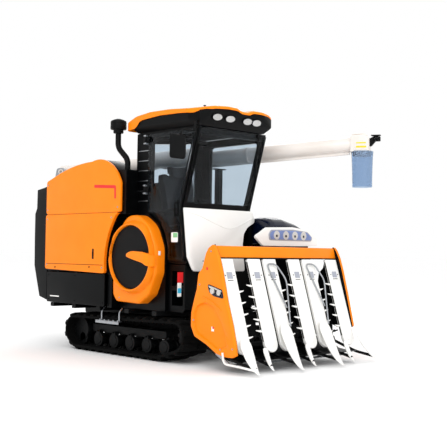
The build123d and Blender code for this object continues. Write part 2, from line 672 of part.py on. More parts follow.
def feed_chain():
    """Toothed chain along the left side, with its rail below and the nipping bar above."""
    (y0, z0, r), (y1, z1, r1) = feed_wheels
    loop = SlotCenterToCenter(y1 - y0, 2 * r)
    ring = loop - SlotCenterToCenter(y1 - y0, 2 * r - 30)
    plane = Plane(origin=(feed_x0, (y0 + y1) / 2, z0), x_dir=(0, 1, 0), z_dir=(1, 0, 0))
    chain = extrude(plane * ring, feed_x1 - feed_x0)
    count = 24
    for k in range(count):
        y = y0 + (k + 0.5) * (y1 - y0) / count
        tooth = side_slab([(y - 16, z0 + r - 4), (y + 16, z0 + r - 4), (y + 10, z0 + r + 22)], feed_x0, feed_x1)
        chain += tooth
    rail = block(thresher_left_x, feed_x1, y0, y1, z0 - 14, z0 + 14)
    for y in (-300, 400, 1100):
        rail += block(thresher_left_x, feed_x1, y - 20, y + 20, z0 - r + 15, z0 + r - 15)
    nip = side_slab([(-470, 1240), (-380, 1185), (1560, 1185), (1560, 1240)], thresher_left_x, feed_x1 + 10)
    return [chain, rail, nip]


def straw_chopper():
    """Straw chopper and spreader behind the thresher."""
    box = side_slab([(thresher_rear_y, 640), (2050, 640), (2230, 760), (half_length, 1020), (half_length, 1180),
                     (2200, 1420), (1980, 1520), (thresher_rear_y, 1560)], tank_inner_x + 40, thresher_left_x - 20)
    for k in range(5):
        box -= block(80 + 180 * k, 200 + 180 * k, 1900, 2040, 630, 650)
    return box


# ---------------------------------------------------------------- unloading auger
boom_angle = radians(auger_heading)
climb = radians(auger_climb)


def boom_point(s, drop=0):
    """A point at distance s along the stowed boom's plan line, drop above its middle line."""
    z = auger_pitch_z + s * tan(climb) + drop / cos(climb)
    return (auger_x + s * cos(boom_angle), auger_y + s * sin(boom_angle), z)


boom_plane = Plane(origin=(auger_x, auger_y, auger_pitch_z), x_dir=(cos(boom_angle), sin(boom_angle), 0),
                   z_dir=(sin(boom_angle), -cos(boom_angle), 0))
# in boom_plane: local x runs along the boom, local y is up, local z is across


def boom_rod(s0, h0, s1, h1, radius):
    """A many-sided tube in the boom's upright plane."""
    start, end = (Vector(*boom_plane.from_local_coords((s, h, 0))) for s, h in ((s0, h0), (s1, h1)))
    return Plane(origin=start, z_dir=end - start) * extrude(RegularPolygon(radius, 20), (end - start).length)


def boom_pin(s, h, half, radius):
    """A round pin across the boom's plane."""
    return rod(boom_plane.from_local_coords((s, h, -half)), boom_plane.from_local_coords((s, h, half)), radius)


def boom_slab(points, across0, across1):
    """A profile in the boom's upright plane made solid across it."""
    face = make_face(Polyline(*[(s, h) for s, h in points], close=True))
    return extrude(boom_plane * (Pos(0, 0, across0) * face), across1 - across0)


turret_low_z = tank_roof_z + 2
boom_base_s, boom_base_h = 140, -150
boom_eye_s, boom_eye_h = 640, -92
boom_pin_radius = 12
turret_pin_radius = 26


def auger_leg():
    """Vertical screw housing that stands out of the rear cover."""
    top = auger_pitch_z - 170
    leg = Pos(auger_x, auger_y, tank_roof_z - 60) * extrude(RegularPolygon(107, 20), top - tank_roof_z + 60)
    return leg - side_slab(rear_cover_points, right_side_x, -150)


def auger_turret():
    """Turning head with two ears for the boom's pin and one fork for its cylinder."""
    top = auger_pitch_z - 170
    head = Pos(auger_x, auger_y, top + seat_gap) * extrude(RegularPolygon(120, 20), 50)
    for near, far in ((112, 136), (-136, -112)):
        ear = boom_slab([(-95, -130), (95, -130), (60, 55), (-60, 55)], near, far)
        head += ear - boom_pin(0, 0, 150, turret_pin_radius + seat_gap)
    head += boom_slab([(-95, -170 + seat_gap), (95, -170 + seat_gap), (95, -120), (-95, -120)], -136, 136)
    fork_s = boom_base_s + 24
    head += boom_slab([(80, -168), (fork_s, -168), (fork_s, boom_base_h + 24), (80, -122)], -34, 34)
    head -= boom_slab([(boom_base_s - 36, -200), (fork_s + 36, -200), (fork_s + 36, -100), (boom_base_s - 36, -100)], -19, 19)
    return head + boom_pin(boom_base_s, boom_base_h, 34, boom_pin_radius)


def auger_boom():
    """Long white tube with its root casting, spout and lamp bracket."""
    rise = tan(climb)
    spout_s = auger_reach
    tube = boom_rod(60, 60 * rise, spout_s - 90, (spout_s - 90) * rise, auger_radius)
    tube += boom_rod(-48, 0, 80, 80 * rise, 98)
    tube += boom_pin(0, 0, 140, turret_pin_radius)
    hood = spout_s * rise
    box = boom_slab([(spout_s - 135, hood - 100), (spout_s - 135, hood + 100), (spout_s + 45, hood + 105),
                     (spout_s + 92, hood + 60), (spout_s + 92, hood - 100)], -100, 100)
    x, y, low = boom_plane.from_local_coords((spout_s, hood - 100, 0))
    neck = Pos(x, y, low - spout_neck) * extrude(RegularPolygon(spout_radius, 24), spout_neck + 5)
    bore = Pos(x, y, low - spout_neck - 1) * Cylinder(spout_radius - spout_wall, spout_neck + 1, align=upright)
    bore += Pos(x, y, low - 1) * extrude(RegularPolygon(spout_radius - 30, 16), 130)
    tail = boom_slab([(spout_s + 60, hood + 20), (spout_s + 60, hood + 60), (tail_s, hood + 110), (tail_s, hood + 70)],
                     -tail_half, tail_half)
    eye = boom_slab([(boom_eye_s - 34, boom_eye_h - 28), (boom_eye_s + 34, boom_eye_h - 28),
                     (boom_eye_s + 60, boom_eye_s * rise - 60), (boom_eye_s - 60, boom_eye_s * rise - 60)], -36, 36)
    eye -= boom_slab([(boom_eye_s - 80, boom_eye_h - 60), (boom_eye_s + 80, boom_eye_h - 60),
                      (boom_eye_s + 80, boom_eye_h + 60), (boom_eye_s - 80, boom_eye_h + 60)], -22, 22)
    s0, s1 = boom_eye_s + 90, spout_s - 150
    seam = boom_slab([(s0, s0 * rise - auger_radius - 26), (s0, s0 * rise - 60), (s1, s1 * rise - 60),
                      (s1, s1 * rise - auger_radius - 26)], -24, 24)
    return tube + eye + box + neck + tail + seam - bore


spout_radius = 112
spout_wall = 10
spout_neck = 40
tail_half = 35
tail_s = (half_width - auger_x + tail_half * sin(boom_angle)) / cos(boom_angle)


def spout_sleeve():
    """Clear plastic sleeve that hangs from the spout's neck."""
    x, y, low = boom_plane.from_local_coords((auger_reach, auger_reach * tan(climb) - 100, 0))
    top = low - spout_neck + 22
    outer = Pos(x, y, top - 470) * extrude(RegularPolygon(spout_radius + 6, 24), 470)
    inner = Pos(x, y, top - 480) * extrude(RegularPolygon(spout_radius + seat_gap, 24), 490)
    return outer - inner


def cylinder_barrel(length, radius, bore, neck):
    """A cylinder barrel along +X from its base eye at the origin."""
    eye = extrude(Plane.XZ * RegularPolygon(25, 12), 15, both=True) + block(0, neck + 2, -15, 15, -18, 18)
    barrel = eye + Pos(neck, 0, 0) * extrude(Plane.YZ * RegularPolygon(radius, 16), length - neck)
    hollow = extrude(Plane.YZ * RegularPolygon(bore + seat_gap, 12), length)
    pin = Rot(90, 0, 0) * Cylinder(boom_pin_radius + seat_gap, 60)
    return barrel - Pos(70, 0, 0) * hollow - pin


def cylinder_rod(length, inside, radius, eye_radius):
    """A piston rod along +X that ends in an eye and its pin at length from the base pin."""
    shaft = extrude(Plane.YZ * RegularPolygon(radius, 12), length - 0.9 * eye_radius - inside)
    eye = extrude(Plane.XZ * RegularPolygon(eye_radius, 12), 14, both=True)
    return Pos(inside, 0, 0) * shaft + Pos(length, 0, 0) * eye


boom_cylinder_length = hypot(boom_eye_s - boom_base_s, boom_eye_h - boom_base_h)
boom_cylinder_angle = degrees(atan2(boom_eye_h - boom_base_h, boom_eye_s - boom_base_s))


def on_boom_cylinder(shape):
    """Puts a piece drawn along +X onto the boom cylinder's line."""
    base = boom_plane.from_local_coords((boom_base_s, boom_base_h, 0))
    return Pos(*base) * Rot(0, 0, auger_heading) * Rot(0, -boom_cylinder_angle, 0) * shape


def case_front(z):
    """Station of the cases' front face at a height."""
    return case_low_y + (z - case_low_z) * (case_high_y - case_low_y) / (case_high_z - case_low_z)


# ---------------------------------------------------------------- crop header
pivot_bracket_x = (270, 930)
lift_pin_radius = boom_pin_radius
lift_base_y, lift_base_z = -760, 430
lift_eye_y, lift_eye_z = -1220, 470
lift_cylinder_length = hypot(lift_eye_y - lift_base_y, lift_eye_z - lift_base_z)
lift_cylinder_angle = degrees(atan2(lift_eye_z - lift_base_z, lift_base_y - lift_eye_y))


def on_lift_cylinder(shape):
    """Puts a piece drawn along +X onto the lift cylinder's line, which points forwards."""
    return Pos(rail_x, lift_base_y, lift_base_z) * Rot(0, 0, -90) * Rot(0, -lift_cylinder_angle, 0) * shape


case_lean = radians(lean((case_low_y, case_low_z), (case_high_y, case_high_z)))
case_length = hypot(case_high_y - case_low_y, case_high_z - case_low_z)


def case_plane(x):
    """Plane on a case's front face: local x across, local y up the case, local z forwards."""
    up = Vector(0, sin(case_lean), cos(case_lean))
    return Plane(origin=(x, case_low_y, case_low_z), x_dir=(1, 0, 0), z_dir=Vector(1, 0, 0).cross(up))


case_middles = sorted(header_x + side * s for s in case_spread for side in (-1, 1))
# for each case: which way its tines point, +1 towards +X
tine_sides = (1, -1, 1, -1, 1, -1)
header_right_x, header_left_x = header_x - header_side_x, header_x + header_side_x
# long dividers from right to left: crown's x, crown's height, width
long_crowns = ((header_right_x + 105, 345, 200), (case_middles[2] - 14, 470, 232), (case_middles[4] - 14, 470, 240),
               (header_left_x + 45, 392, 210))


def lifter_cases():
    """Six flat lifter cases with round feet."""
    half = case_width / 2
    top = case_length + 40
    foot = [(half * cos(pi * k / 8), half - half * sin(pi * k / 8)) for k in range(9)]
    outline = make_face(Polyline((-half, top), (half, top), *foot, close=True))
    cases = []
    for x in case_middles:
        body = extrude(case_plane(x) * outline, -case_depth)
        body -= block(x - 200, x + 200, case_low_y - 100, case_high_y + 200, case_high_z, case_high_z + 200)
        front = body.faces().filter_by(case_plane(x)).sort_by(Axis.Y)[0]
        cases.append(chamfer(front.edges(), 9))
    return cases


def lifter_tines():
    """Rows of tines that stand out of the cases into the three crop gaps."""
    tines = []
    count, length = 5, 80
    for x, side in zip(case_middles, tine_sides):
        stagger = 0 if side > 0 else 62
        for k in range(count):
            up = 170 + stagger + 124 * k
            root, tip = case_width / 2, case_width / 2 + length
            face = make_face(Polyline((side * root, up - 11), (side * tip, up + 10), (side * tip, up + 17),
                                      (side * root, up + 11), close=True))
            tines.append(extrude(case_plane(x) * (Pos(0, 0, -case_depth / 2 - 6) * face), 12))
    return tines


def leaf(tip, crown, width, depth):
    """A pointed divider shoe: its side profile, from a flat tip up to a steep crown, within its plan."""
    (x0, y0, z0), (x1, y1, z1) = tip, crown
    top, low, right, left = [], [], [], []
    # share of the way, share of the width, share of the depth
    for t, wide, deep in ((0.0, 0.07, 0.3), (0.3, 0.5, 0.8), (0.6, 0.84, 1.0), (0.86, 1.0, 0.95), (1.0, 0.62, 0.5)):
        slope = atan2(1.6 * t ** 0.6 * (z1 - z0), y1 - y0)
        x, y, z = x0 + (x1 - x0) * t, y0 + (y1 - y0) * t, z0 + (z1 - z0) * t ** 1.6
        rise, back = deep * depth / 2 * cos(slope), deep * depth / 2 * sin(slope)
        top.append((y - back, z + rise))
        low.append((y + back, z - rise))
        right.append((x - wide * width / 2, y + (back if t == 1 else 0)))
        left.append((x + wide * width / 2, y + (back if t == 1 else 0)))
    side = side_slab(top + low[::-1], min(x0, x1) - width, max(x0, x1) + width)
    return side & plan_slab(right + left[::-1], z0 - depth, z1 + depth)


def dividers():
    """Four long and three short divider shoes, each on its pipe from the header's beam."""
    cut = header_beam(seat_gap)
    shoes = []
    for k in range(7):
        x = header_x + (k - 3) * row_pitch
        if k % 2 == 0:
            crown_x, crown_z, width = long_crowns[k // 2]
            shoe = leaf((x, -half_length + 10, tip_height), (crown_x, case_front(crown_z) - 30, crown_z), width, 44)
            reach = -half_length + 100
        else:
            x, crown_x = x + 25, x + 15
            shoe = leaf((x, -half_length + 150, tip_height), (crown_x, case_low_y - 42, 255), 66, 34)
            reach = -half_length + 190
        pipe_x = x + 0.35 * (crown_x - x)
        root_x = min(max(pipe_x, header_right_x + 25), header_left_x - 25)
        pipe = bar([(root_x, header_beam_y, header_beam_z), ((root_x + pipe_x) / 2, -1990, 118), (pipe_x, reach, 80)], 17)
        shoes.append(shoe + pipe - cut)
    return shoes


def header_beam(gap):
    """The low cross beam, grown by a distance."""
    return drum(header_right_x + seat_gap, header_left_x - seat_gap, header_beam_y, header_beam_z,
                header_beam_radius + gap, sides=8)


def header_frame():
    """Pivot tube, main arm, cross beams and posts, one weldment."""
    right, left = pivot_bracket_x
    y, z = header_pivot_y, header_pivot_z
    frame = cross_rod(right - 20, left + 20, y, z, header_pivot_radius)
    frame += drum(right + 26, left - 26, y, z, 70)
    frame += bar([(rail_x, y, z), (rail_x, header_beam_y, header_beam_z + 40)], 66, sides=8)
    frame += header_beam(0)
    frame += drum(header_right_x + seat_gap, header_left_x - seat_gap, high_tube_y, high_tube_z, 34, sides=8)
    for x in (header_right_x + 30, header_left_x - 30):
        frame += bar([(x, header_beam_y, header_beam_z), (x, high_tube_y, high_tube_z)], 28)
    plate_low, plate_high = case_high_z + seat_gap, case_high_z + 10 - seat_gap
    frame += block(header_right_x + 10, header_left_x - 10, case_high_y + 5, high_tube_y + 30, plate_low, plate_high)
    frame += block(header_right_x + 10, header_left_x - 10, high_tube_y - 20, high_tube_y + 20, plate_low, high_tube_z)
    lug = side_slab([(lift_eye_y - 40, lift_eye_z - 28), (lift_eye_y + 40, lift_eye_z - 28),
                     (lift_eye_y + 60, lift_eye_z + 125), (lift_eye_y - 60, lift_eye_z + 60)], rail_x - 38, rail_x + 38)
    lug -= block(rail_x - 22, rail_x + 22, lift_eye_y - 80, lift_eye_y + 80, lift_eye_z - 60, lift_eye_z + 42)
    return frame + lug


def header_top_cover():
    """Orange beam cover above the lifter cases."""
    profile = [(-1677, 1190), (-1643, 1328), (-1578, 1290), (-1540, 1234), (-1556, 1226), (-1590, 1276), (-1628, 1300),
               (-1655, 1190)]
    return side_slab(profile, header_right_x + seat_gap, header_left_x - seat_gap)


side_panel_points = [(-1641, 1331), (-1681, 1283), (-1727, 1195), (-1777, 1046), (-1860, 734), (-1941, 496), (-1995, 293),
                     (-2009, 195), (-1948, 168), (-1847, 167), (-1719, 190), (-1560, 273), (-1369, 347), (-1312, 452),
                     (-1314, 597), (-1347, 708), (-1398, 856), (-1421, 1019), (-1482, 1075), (-1537, 1237), (-1576, 1292)]
left_panel_points = side_panel_points[:5] + [(-1945, 393), (-1700, 380), (-1430, 480)] + side_panel_points[16:]


def header_side_panels():
    """Orange side panels of the header."""
    right = side_slab(side_panel_points, header_right_x, header_right_x - header_panel_thickness)
    left = side_slab(left_panel_points, header_left_x, header_left_x + header_panel_thickness)
    right = chamfer(right.faces().sort_by(Axis.X)[0].edges(), 10)
    left = chamfer(left.faces().sort_by(Axis.X)[-1].edges(), 10)
    return [right, left]


def header_lamps():
    """Lamp in the right side panel and the long lamp in the hood's front."""
    x = header_right_x - header_panel_thickness
    side = side_slab([(-1605, 828), (-1572, 916), (-1799, 857), (-1829, 764), (-1672, 787)], x, x - 12)
    long = front_slab([(185, 1392), (185, 1530), (955, 1530), (955, 1392)], hood_front_y - 14, hood_front_y, radius=50)
    return [side, long]


hood_front_y = -1300
hood_rear_y = -850
hood_low_z = 1362


def hood_fascia():
    """White front of the hood, with a wing that points towards the cab."""
    outline = [(-50, 1438), (60, 1490), (150, 1545), (600, 1560), (900, 1530), (1050, 1440), (1062, 1374), (620, hood_low_z + 2),
               (90, hood_low_z + 2)]
    return front_slab(outline, hood_front_y, hood_front_y + 40, radius=[10, 30, 60, 200, 120, 40, 20, 200, 40])


def hood_top():
    """Dark bonnet behind the fascia."""
    arch = [(262, hood_low_z), (262, 1640), (330, 1672), (520, 1672), (760, 1615), (930, 1535), (1045, 1430), (1055, hood_low_z)]
    body = front_slab(arch, hood_front_y + 40, hood_rear_y)
    nose = side_slab([(hood_front_y + 40, 1360), (hood_front_y + 40, 1552), (hood_front_y + 190, 1650),
                      (hood_front_y + 300, 1680), (hood_rear_y, 1670), (hood_rear_y, 1360)], 200, 1100)
    return body & nose


def feeder_house():
    """Inclined conveyor housing from the header back to the feed chain."""
    house = side_slab([(-1475, 300), (-1530, 480), (-1290, hood_low_z), (-850, hood_low_z), (-640, 1330), (-560, 1230),
                       (-530, 1130), (-560, 1010), (-690, 890), (-1100, 700), (-1280, 560), (-1350, 300)], 470, 880)
    return house - cross_rod(400, 950, header_pivot_y, header_pivot_z, 70 + seat_gap)


def star_wheels():
    """Six star wheels that gather the stalks behind the lifter cases."""
    cut = header_beam(seat_gap)
    wheels = []
    points = 7
    for centre in (header_x - 2 * row_pitch, header_x, header_x + 2 * row_pitch):
        for side in (-1, 1):
            outline = []
            for k in range(2 * points):
                r = 100 if k % 2 == 0 else 48
                a = pi * k / points + (0 if side > 0 else pi / points)
                outline.append((r * cos(a), r * sin(a)))
            x = centre + side * 104
            place = Plane(origin=(x, star_y, star_z), x_dir=(1, 0, 0), z_dir=(0, 0.30, 0.95))
            star = place * extrude(make_face(Polyline(*outline, close=True)), 16)
            hub = place * (Pos(0, 0, -40) * extrude(RegularPolygon(28, 8), 80))
            arm = bar([(x, star_y + 4, star_z - 36), (x, header_beam_y, header_beam_z)], 17)
            wheels.append(star + hub + arm - cut)
    return wheels


def cutter_bar():
    """Reciprocating knife across the header with its guards."""
    y, z = knife_y, 76
    half = header_side_x - 20
    knife = block(header_x - half, header_x + half, y, y + 60, z, z + 12)
    count = 36
    for k in range(count):
        x = header_x - half + (k + 0.5) * 2 * half / count
        face = make_face(Polyline((x - 22, y + 2), (x + 22, y + 2), (x, y - 52), close=True))
        knife += Pos(0, 0, z) * extrude(face, 8)
    for x in (header_x - half + 20, -505, -180, 145, 470, header_x + half - 20):
        knife += side_slab([(y + 20, z), (y + 60, z), (header_beam_y + 10, 170), (header_beam_y, header_beam_z),
                            (header_beam_y - 30, header_beam_z - 30)], x - 6, x + 6)
    return knife - header_beam(seat_gap)


def guide_rods():
    """Crop guide loops on two cases and the skid rod under the right divider."""
    shoes = dividers()
    rods = []
    for case, shoe in ((2, shoes[2]), (4, shoes[4])):
        x = case_middles[case]
        loop = bar([(x + 92, case_front(450) - 24, 450), (x + 115, case_front(951) - 82, 951),
                    (x + 67, case_front(1126) - 10, 1126), (x - 83, case_front(1126) - 10, 1126),
                    (x + 98, case_front(650) - 38, 650)], 9)
        rods.append(loop - shoe - lifter_cases()[case])
    side = header_right_x - header_panel_thickness - 16
    skid = bar([(side, -1830, 215), (side, -1850, 100), (side, -2120, 88), (header_x - 3 * row_pitch, -2262, 70)], 12)
    rods.append(skid - shoes[0] - header_side_panels()[0])
    return rods


# ---------------------------------------------------------------- assembly
def build_nodes():
    """Every node's name and its solids."""
    side = track_gauge / 2
    nodes = {}
    belt, frame, sprocket = track_belt(), track_frame(), drive_sprocket()
    for name, x in (("right", -side), ("left", side)):
        nodes[f"track_belt_{name}"] = Pos(x, 0, 0) * belt
        nodes[f"track_frame_{name}"] = Pos(x, 0, 0) * frame
        nodes[f"drive_sprocket_{name}"] = Pos(x, 0, 0) * (mirrored(sprocket) if x < 0 else sprocket)
    nodes["chassis_frame"] = chassis_frame()
    nodes["transmission"] = transmission()
    nodes["engine"] = engine()
    nodes["grain_tank"] = grain_tank()
    nodes["tank_side_panels"] = tank_side_panels()
    nodes["tank_rear_cover"] = tank_rear_cover()
    nodes["engine_bay_cover"] = engine_bay_cover()
    nodes["screen_housing"] = screen_housing()
    nodes["screen_arm"] = screen_arm()
    nodes["screen_disc"] = screen_disc()
    nodes["cab_base"] = cab_base()
    nodes["cab_frame"] = cab_frame()
    nodes["cab_glass"] = cab_glass()
    nodes["front_panel"] = front_panel()
    nodes["roof_cap"] = roof_cap()
    nodes["roof_liner"] = roof_liner()
    nodes["roof_lamps"] = roof_lamps()
    nodes["seat"] = seat()
    nodes["controls"] = controls()
    nodes["door_frame"] = door_frame()
    nodes["door_glass"] = door_glass()
    nodes["air_precleaner"] = air_precleaner()
    nodes["thresher_body"] = thresher_body()
    nodes["thresher_side_cover"] = thresher_side_cover()
    nodes["feed_chain"] = feed_chain()
    nodes["straw_chopper"] = straw_chopper()
    nodes["auger_rest"] = auger_rest()
    nodes["auger_leg"] = auger_leg()
    nodes["auger_turret"] = auger_turret()
    nodes["auger_boom"] = auger_boom()
    nodes["spout_sleeve"] = spout_sleeve()
    nodes["boom_cylinder_barrel"] = on_boom_cylinder(cylinder_barrel(360, 30, 15, 44))
    nodes["boom_cylinder_rod"] = on_boom_cylinder(cylinder_rod(boom_cylinder_length, 150, 15, 25))
    nodes["mirrors"] = mirrors()
    nodes["lift_cylinder_barrel"] = on_lift_cylinder(cylinder_barrel(lift_cylinder_length - 50, 42, 22, 50))
    nodes["lift_cylinder_rod"] = on_lift_cylinder(cylinder_rod(lift_cylinder_length, 80, 22, 30))
    nodes["header_frame"] = header_frame()
    nodes["header_top_cover"] = header_top_cover()
    nodes["header_side_panels"] = header_side_panels()
    nodes["header_lamps"] = header_lamps()
    nodes["hood_fascia"] = hood_fascia()
    nodes["hood_top"] = hood_top()
    nodes["feeder_house"] = feeder_house()
    nodes["lifter_cases"] = lifter_cases()
    nodes["lifter_tines"] = lifter_tines()
    nodes["dividers"] = dividers()
    nodes["cutter_bar"] = cutter_bar()
    nodes["star_wheels"] = star_wheels()
    nodes["guide_rods"] = guide_rods()
    return nodes


def main():
    """Writes one STEP file for each node."""
    os.makedirs("parts", exist_ok=True)
    for name, shape in build_nodes().items():
        if isinstance(shape, (list, tuple)):
            solids = [s for piece in shape for s in piece.solids()]
        else:
            solids = shape.solids()
        export_step(Compound(children=list(solids)), os.path.join("parts", name + ".step"))


main()
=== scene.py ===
"""Studio scene of a six-row head-feeding combine harvester on rubber crawler tracks.

All sizes are in millimetres and turn into metres when a piece is finished. +X is the machine's
left, +Y its rear, +Z up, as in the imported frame.
"""

import json
import logging
from collections.abc import Iterable, Sequence
from dataclasses import dataclass
from enum import Enum
from math import acos, atan2, cos, hypot, pi, radians, sin, tan

import bmesh
import bpy
from mathutils import Matrix, Vector

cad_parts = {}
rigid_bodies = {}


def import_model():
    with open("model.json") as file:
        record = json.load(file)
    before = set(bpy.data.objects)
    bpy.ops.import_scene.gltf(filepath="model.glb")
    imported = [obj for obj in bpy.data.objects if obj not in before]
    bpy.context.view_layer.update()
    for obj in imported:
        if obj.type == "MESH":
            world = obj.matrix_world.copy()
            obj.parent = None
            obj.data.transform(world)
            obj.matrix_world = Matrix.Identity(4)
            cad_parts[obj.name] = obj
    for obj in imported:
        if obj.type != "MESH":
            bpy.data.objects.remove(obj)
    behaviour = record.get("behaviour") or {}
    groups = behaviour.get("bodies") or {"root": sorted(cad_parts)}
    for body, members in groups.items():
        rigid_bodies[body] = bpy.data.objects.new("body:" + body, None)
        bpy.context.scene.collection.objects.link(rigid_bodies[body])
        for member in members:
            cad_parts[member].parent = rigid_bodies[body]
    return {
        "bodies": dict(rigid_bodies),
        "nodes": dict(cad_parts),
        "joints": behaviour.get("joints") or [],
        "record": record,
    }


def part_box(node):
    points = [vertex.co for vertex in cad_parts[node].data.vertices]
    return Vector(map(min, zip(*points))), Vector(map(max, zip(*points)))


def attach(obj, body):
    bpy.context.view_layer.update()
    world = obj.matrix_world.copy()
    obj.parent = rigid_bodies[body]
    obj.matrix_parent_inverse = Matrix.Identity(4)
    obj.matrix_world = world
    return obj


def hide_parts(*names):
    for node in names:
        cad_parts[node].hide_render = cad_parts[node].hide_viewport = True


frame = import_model()
log = logging.getLogger("harvester")

Pair = tuple[float, float]
Point = tuple[float, float, float]
Line = tuple[Pair, ...]
Placement = tuple[float, float, float, float, float, float]    # x, y, z, then turns about X, Y, Z

TO_METRES = Matrix.Scale(0.001, 4)


# ---------------------------------------------------------------- forms
class Across(Enum):
    """The axis that a flat outline is pushed along."""

    X = "x"
    Y = "y"
    Z = "z"

    def point(self, a: float, b: float, t: float) -> Point:
        """Places outline corner (a, b) at distance t along the axis."""
        return {"x": (t, a, b), "y": (a, t, b), "z": (a, b, t)}[self.value]


def rounded(corners: Sequence[Pair], radius: float | Sequence[float], steps: int = 5) -> list[Pair]:
    """Rounds the corners of a closed outline.

    Args:
        corners: The outline's corners in order.
        radius: One radius, or one for each corner.
        steps: Points on each arc.

    Returns:
        The corners with an arc in place of each.
    """
    radii = [radius] * len(corners) if isinstance(radius, (int, float)) else list(radius)
    outline: list[Pair] = []
    for k, corner in enumerate(corners):
        here = Vector(corner)
        back, ahead = Vector(corners[k - 1]) - here, Vector(corners[(k + 1) % len(corners)]) - here
        turn = back.angle(ahead)
        reach = min(radii[k] / max(tan(turn / 2), 0.05), 0.48 * back.length, 0.48 * ahead.length)
        if radii[k] <= 0 or turn > 3.1:
            outline.append(tuple(here))
            continue
        start, end = here + back.normalized() * reach, here + ahead.normalized() * reach
        for step in range(steps + 1):
            t = step / steps
            outline.append(tuple(start * (1 - t) ** 2 + here * 2 * t * (1 - t) + end * t ** 2))
    return outline


def arc(start: Pair, via: Pair, end: Pair, count: int = 10) -> list[Pair]:
    """Points along the circle through three points.

    Args:
        start: Where the arc starts.
        via: A point that it passes.
        end: Where it ends, which isn't one of the points.
        count: How many points.

    Returns:
        The points.
    """
    (ax, ay), (bx, by), (cx, cy) = start, via, end
    d = 2 * (ax * (by - cy) + bx * (cy - ay) + cx * (ay - by))
    sa, sb, sc = ax * ax + ay * ay, bx * bx + by * by, cx * cx + cy * cy
    ux = (sa * (by - cy) + sb * (cy - ay) + sc * (ay - by)) / d
    uy = (sa * (cx - bx) + sb * (ax - cx) + sc * (bx - ax)) / d
    first, middle, last = (atan2(y - uy, x - ux) for x, y in (start, via, end))
    sweep = (last - first) % (2 * pi)
    if (middle - first) % (2 * pi) > sweep:
        sweep -= 2 * pi
    radius, angles = hypot(ax - ux, ay - uy), [first + sweep * k / count for k in range(count)]
    return [(ux + radius * cos(a), uy + radius * sin(a)) for a in angles]


def around(count: int) -> list[float]:
    """Returns evenly spaced angles round a full turn."""
    return [2 * pi * k / count for k in range(count)]


def oblong(a0: float, b0: float, a1: float, b1: float) -> list[Pair]:
    """Returns the four corners of a rectangle."""
    return [(a0, b0), (a1, b0), (a1, b1), (a0, b1)]


def shrunk(outline: Iterable[Pair], middle: Pair, share: float, share_up: float | None = None) -> list[Pair]:
    """Pulls an outline towards a middle point.

    Args:
        outline: Its points.
        middle: The point that stays.
        share: What is left of each distance from it.
        share_up: The same for the second direction, where it differs.

    Returns:
        The pulled points.
    """
    (am, bm), other = middle, share if share_up is None else share_up
    return [(am + (a - am) * share, bm + (b - bm) * other) for a, b in outline]


def divided(outline: Sequence[Pair], step: float) -> list[Pair]:
    """Adds points to the long sides of a closed outline.

    Args:
        outline: Its points in order.
        step: About how far apart the points then lie.

    Returns:
        The denser outline.
    """
    dense: list[Pair] = []
    for (a0, b0), (a1, b1) in zip(outline, outline[1:] + outline[:1]):
        parts = max(1, int(hypot(a1 - a0, b1 - b0) / step))
        dense += [(a0 + (a1 - a0) * n / parts, b0 + (b1 - b0) * n / parts) for n in range(parts)]
    return dense


def reach(start: Pair, angle: float, corners: Sequence[Pair]) -> float:
    """How far a ray from inside a closed outline runs until it leaves it.

    Args:
        start: The ray's start.
        angle: Its direction.
        corners: The outline.

    Returns:
        The distance to the furthest meeting point, or 0 where there is none.
    """
    da, db = cos(angle), sin(angle)
    best = 0.0
    for (a0, b0), (a1, b1) in zip(corners, [*corners[1:], corners[0]]):
        ea, eb = a1 - a0, b1 - b0
        cross = da * eb - db * ea
        if abs(cross) < 1e-9:
            continue
        oa, ob = a0 - start[0], b0 - start[1]
        t, u = (oa * eb - ob * ea) / cross, (oa * db - ob * da) / cross
        if t > 0 and -1e-6 <= u <= 1 + 1e-6:
            best = max(best, t)
    return best


def smooth_path(points: Sequence[Point], bend: float, steps: int = 6) -> list[Vector]:
    """Rounds the bends of an open route.

    Args:
        points: The route's corners.
        bend: Distance from each corner at which its curve starts.
        steps: Points on each curve.

    Returns:
        The points along the rounded route.
    """
    path = [Vector(points[0])]
    for before, here, after in zip(points, points[1:], points[2:]):
        corner = Vector(here)
        back, ahead = Vector(before) - corner, Vector(after) - corner
        start = corner + back.normalized() * min(bend, back.length / 2)
        end = corner + ahead.normalized() * min(bend, ahead.length / 2)
        for step in range(steps + 1):
            t = step / steps
            path.append(start * (1 - t) ** 2 + corner * 2 * t * (1 - t) + end * t ** 2)
    path.append(Vector(points[-1]))
    return path


def between(table: Sequence[Sequence[float]], at: float) -> list[float]:
    """Reads a table whose first column rises, in straight steps between its rows.

    Args:
        table: Rows of numbers.
        at: Where to read, in the first column's units.

    Returns:
        The other columns at that place.
    """
    if at <= table[0][0]:
        return list(table[0][1:])
    for low, high in zip(table, table[1:]):
        if at <= high[0]:
            t = (at - low[0]) / (high[0] - low[0])
            return [a + (b - a) * t for a, b in zip(low[1:], high[1:])]
    return list(table[-1][1:])


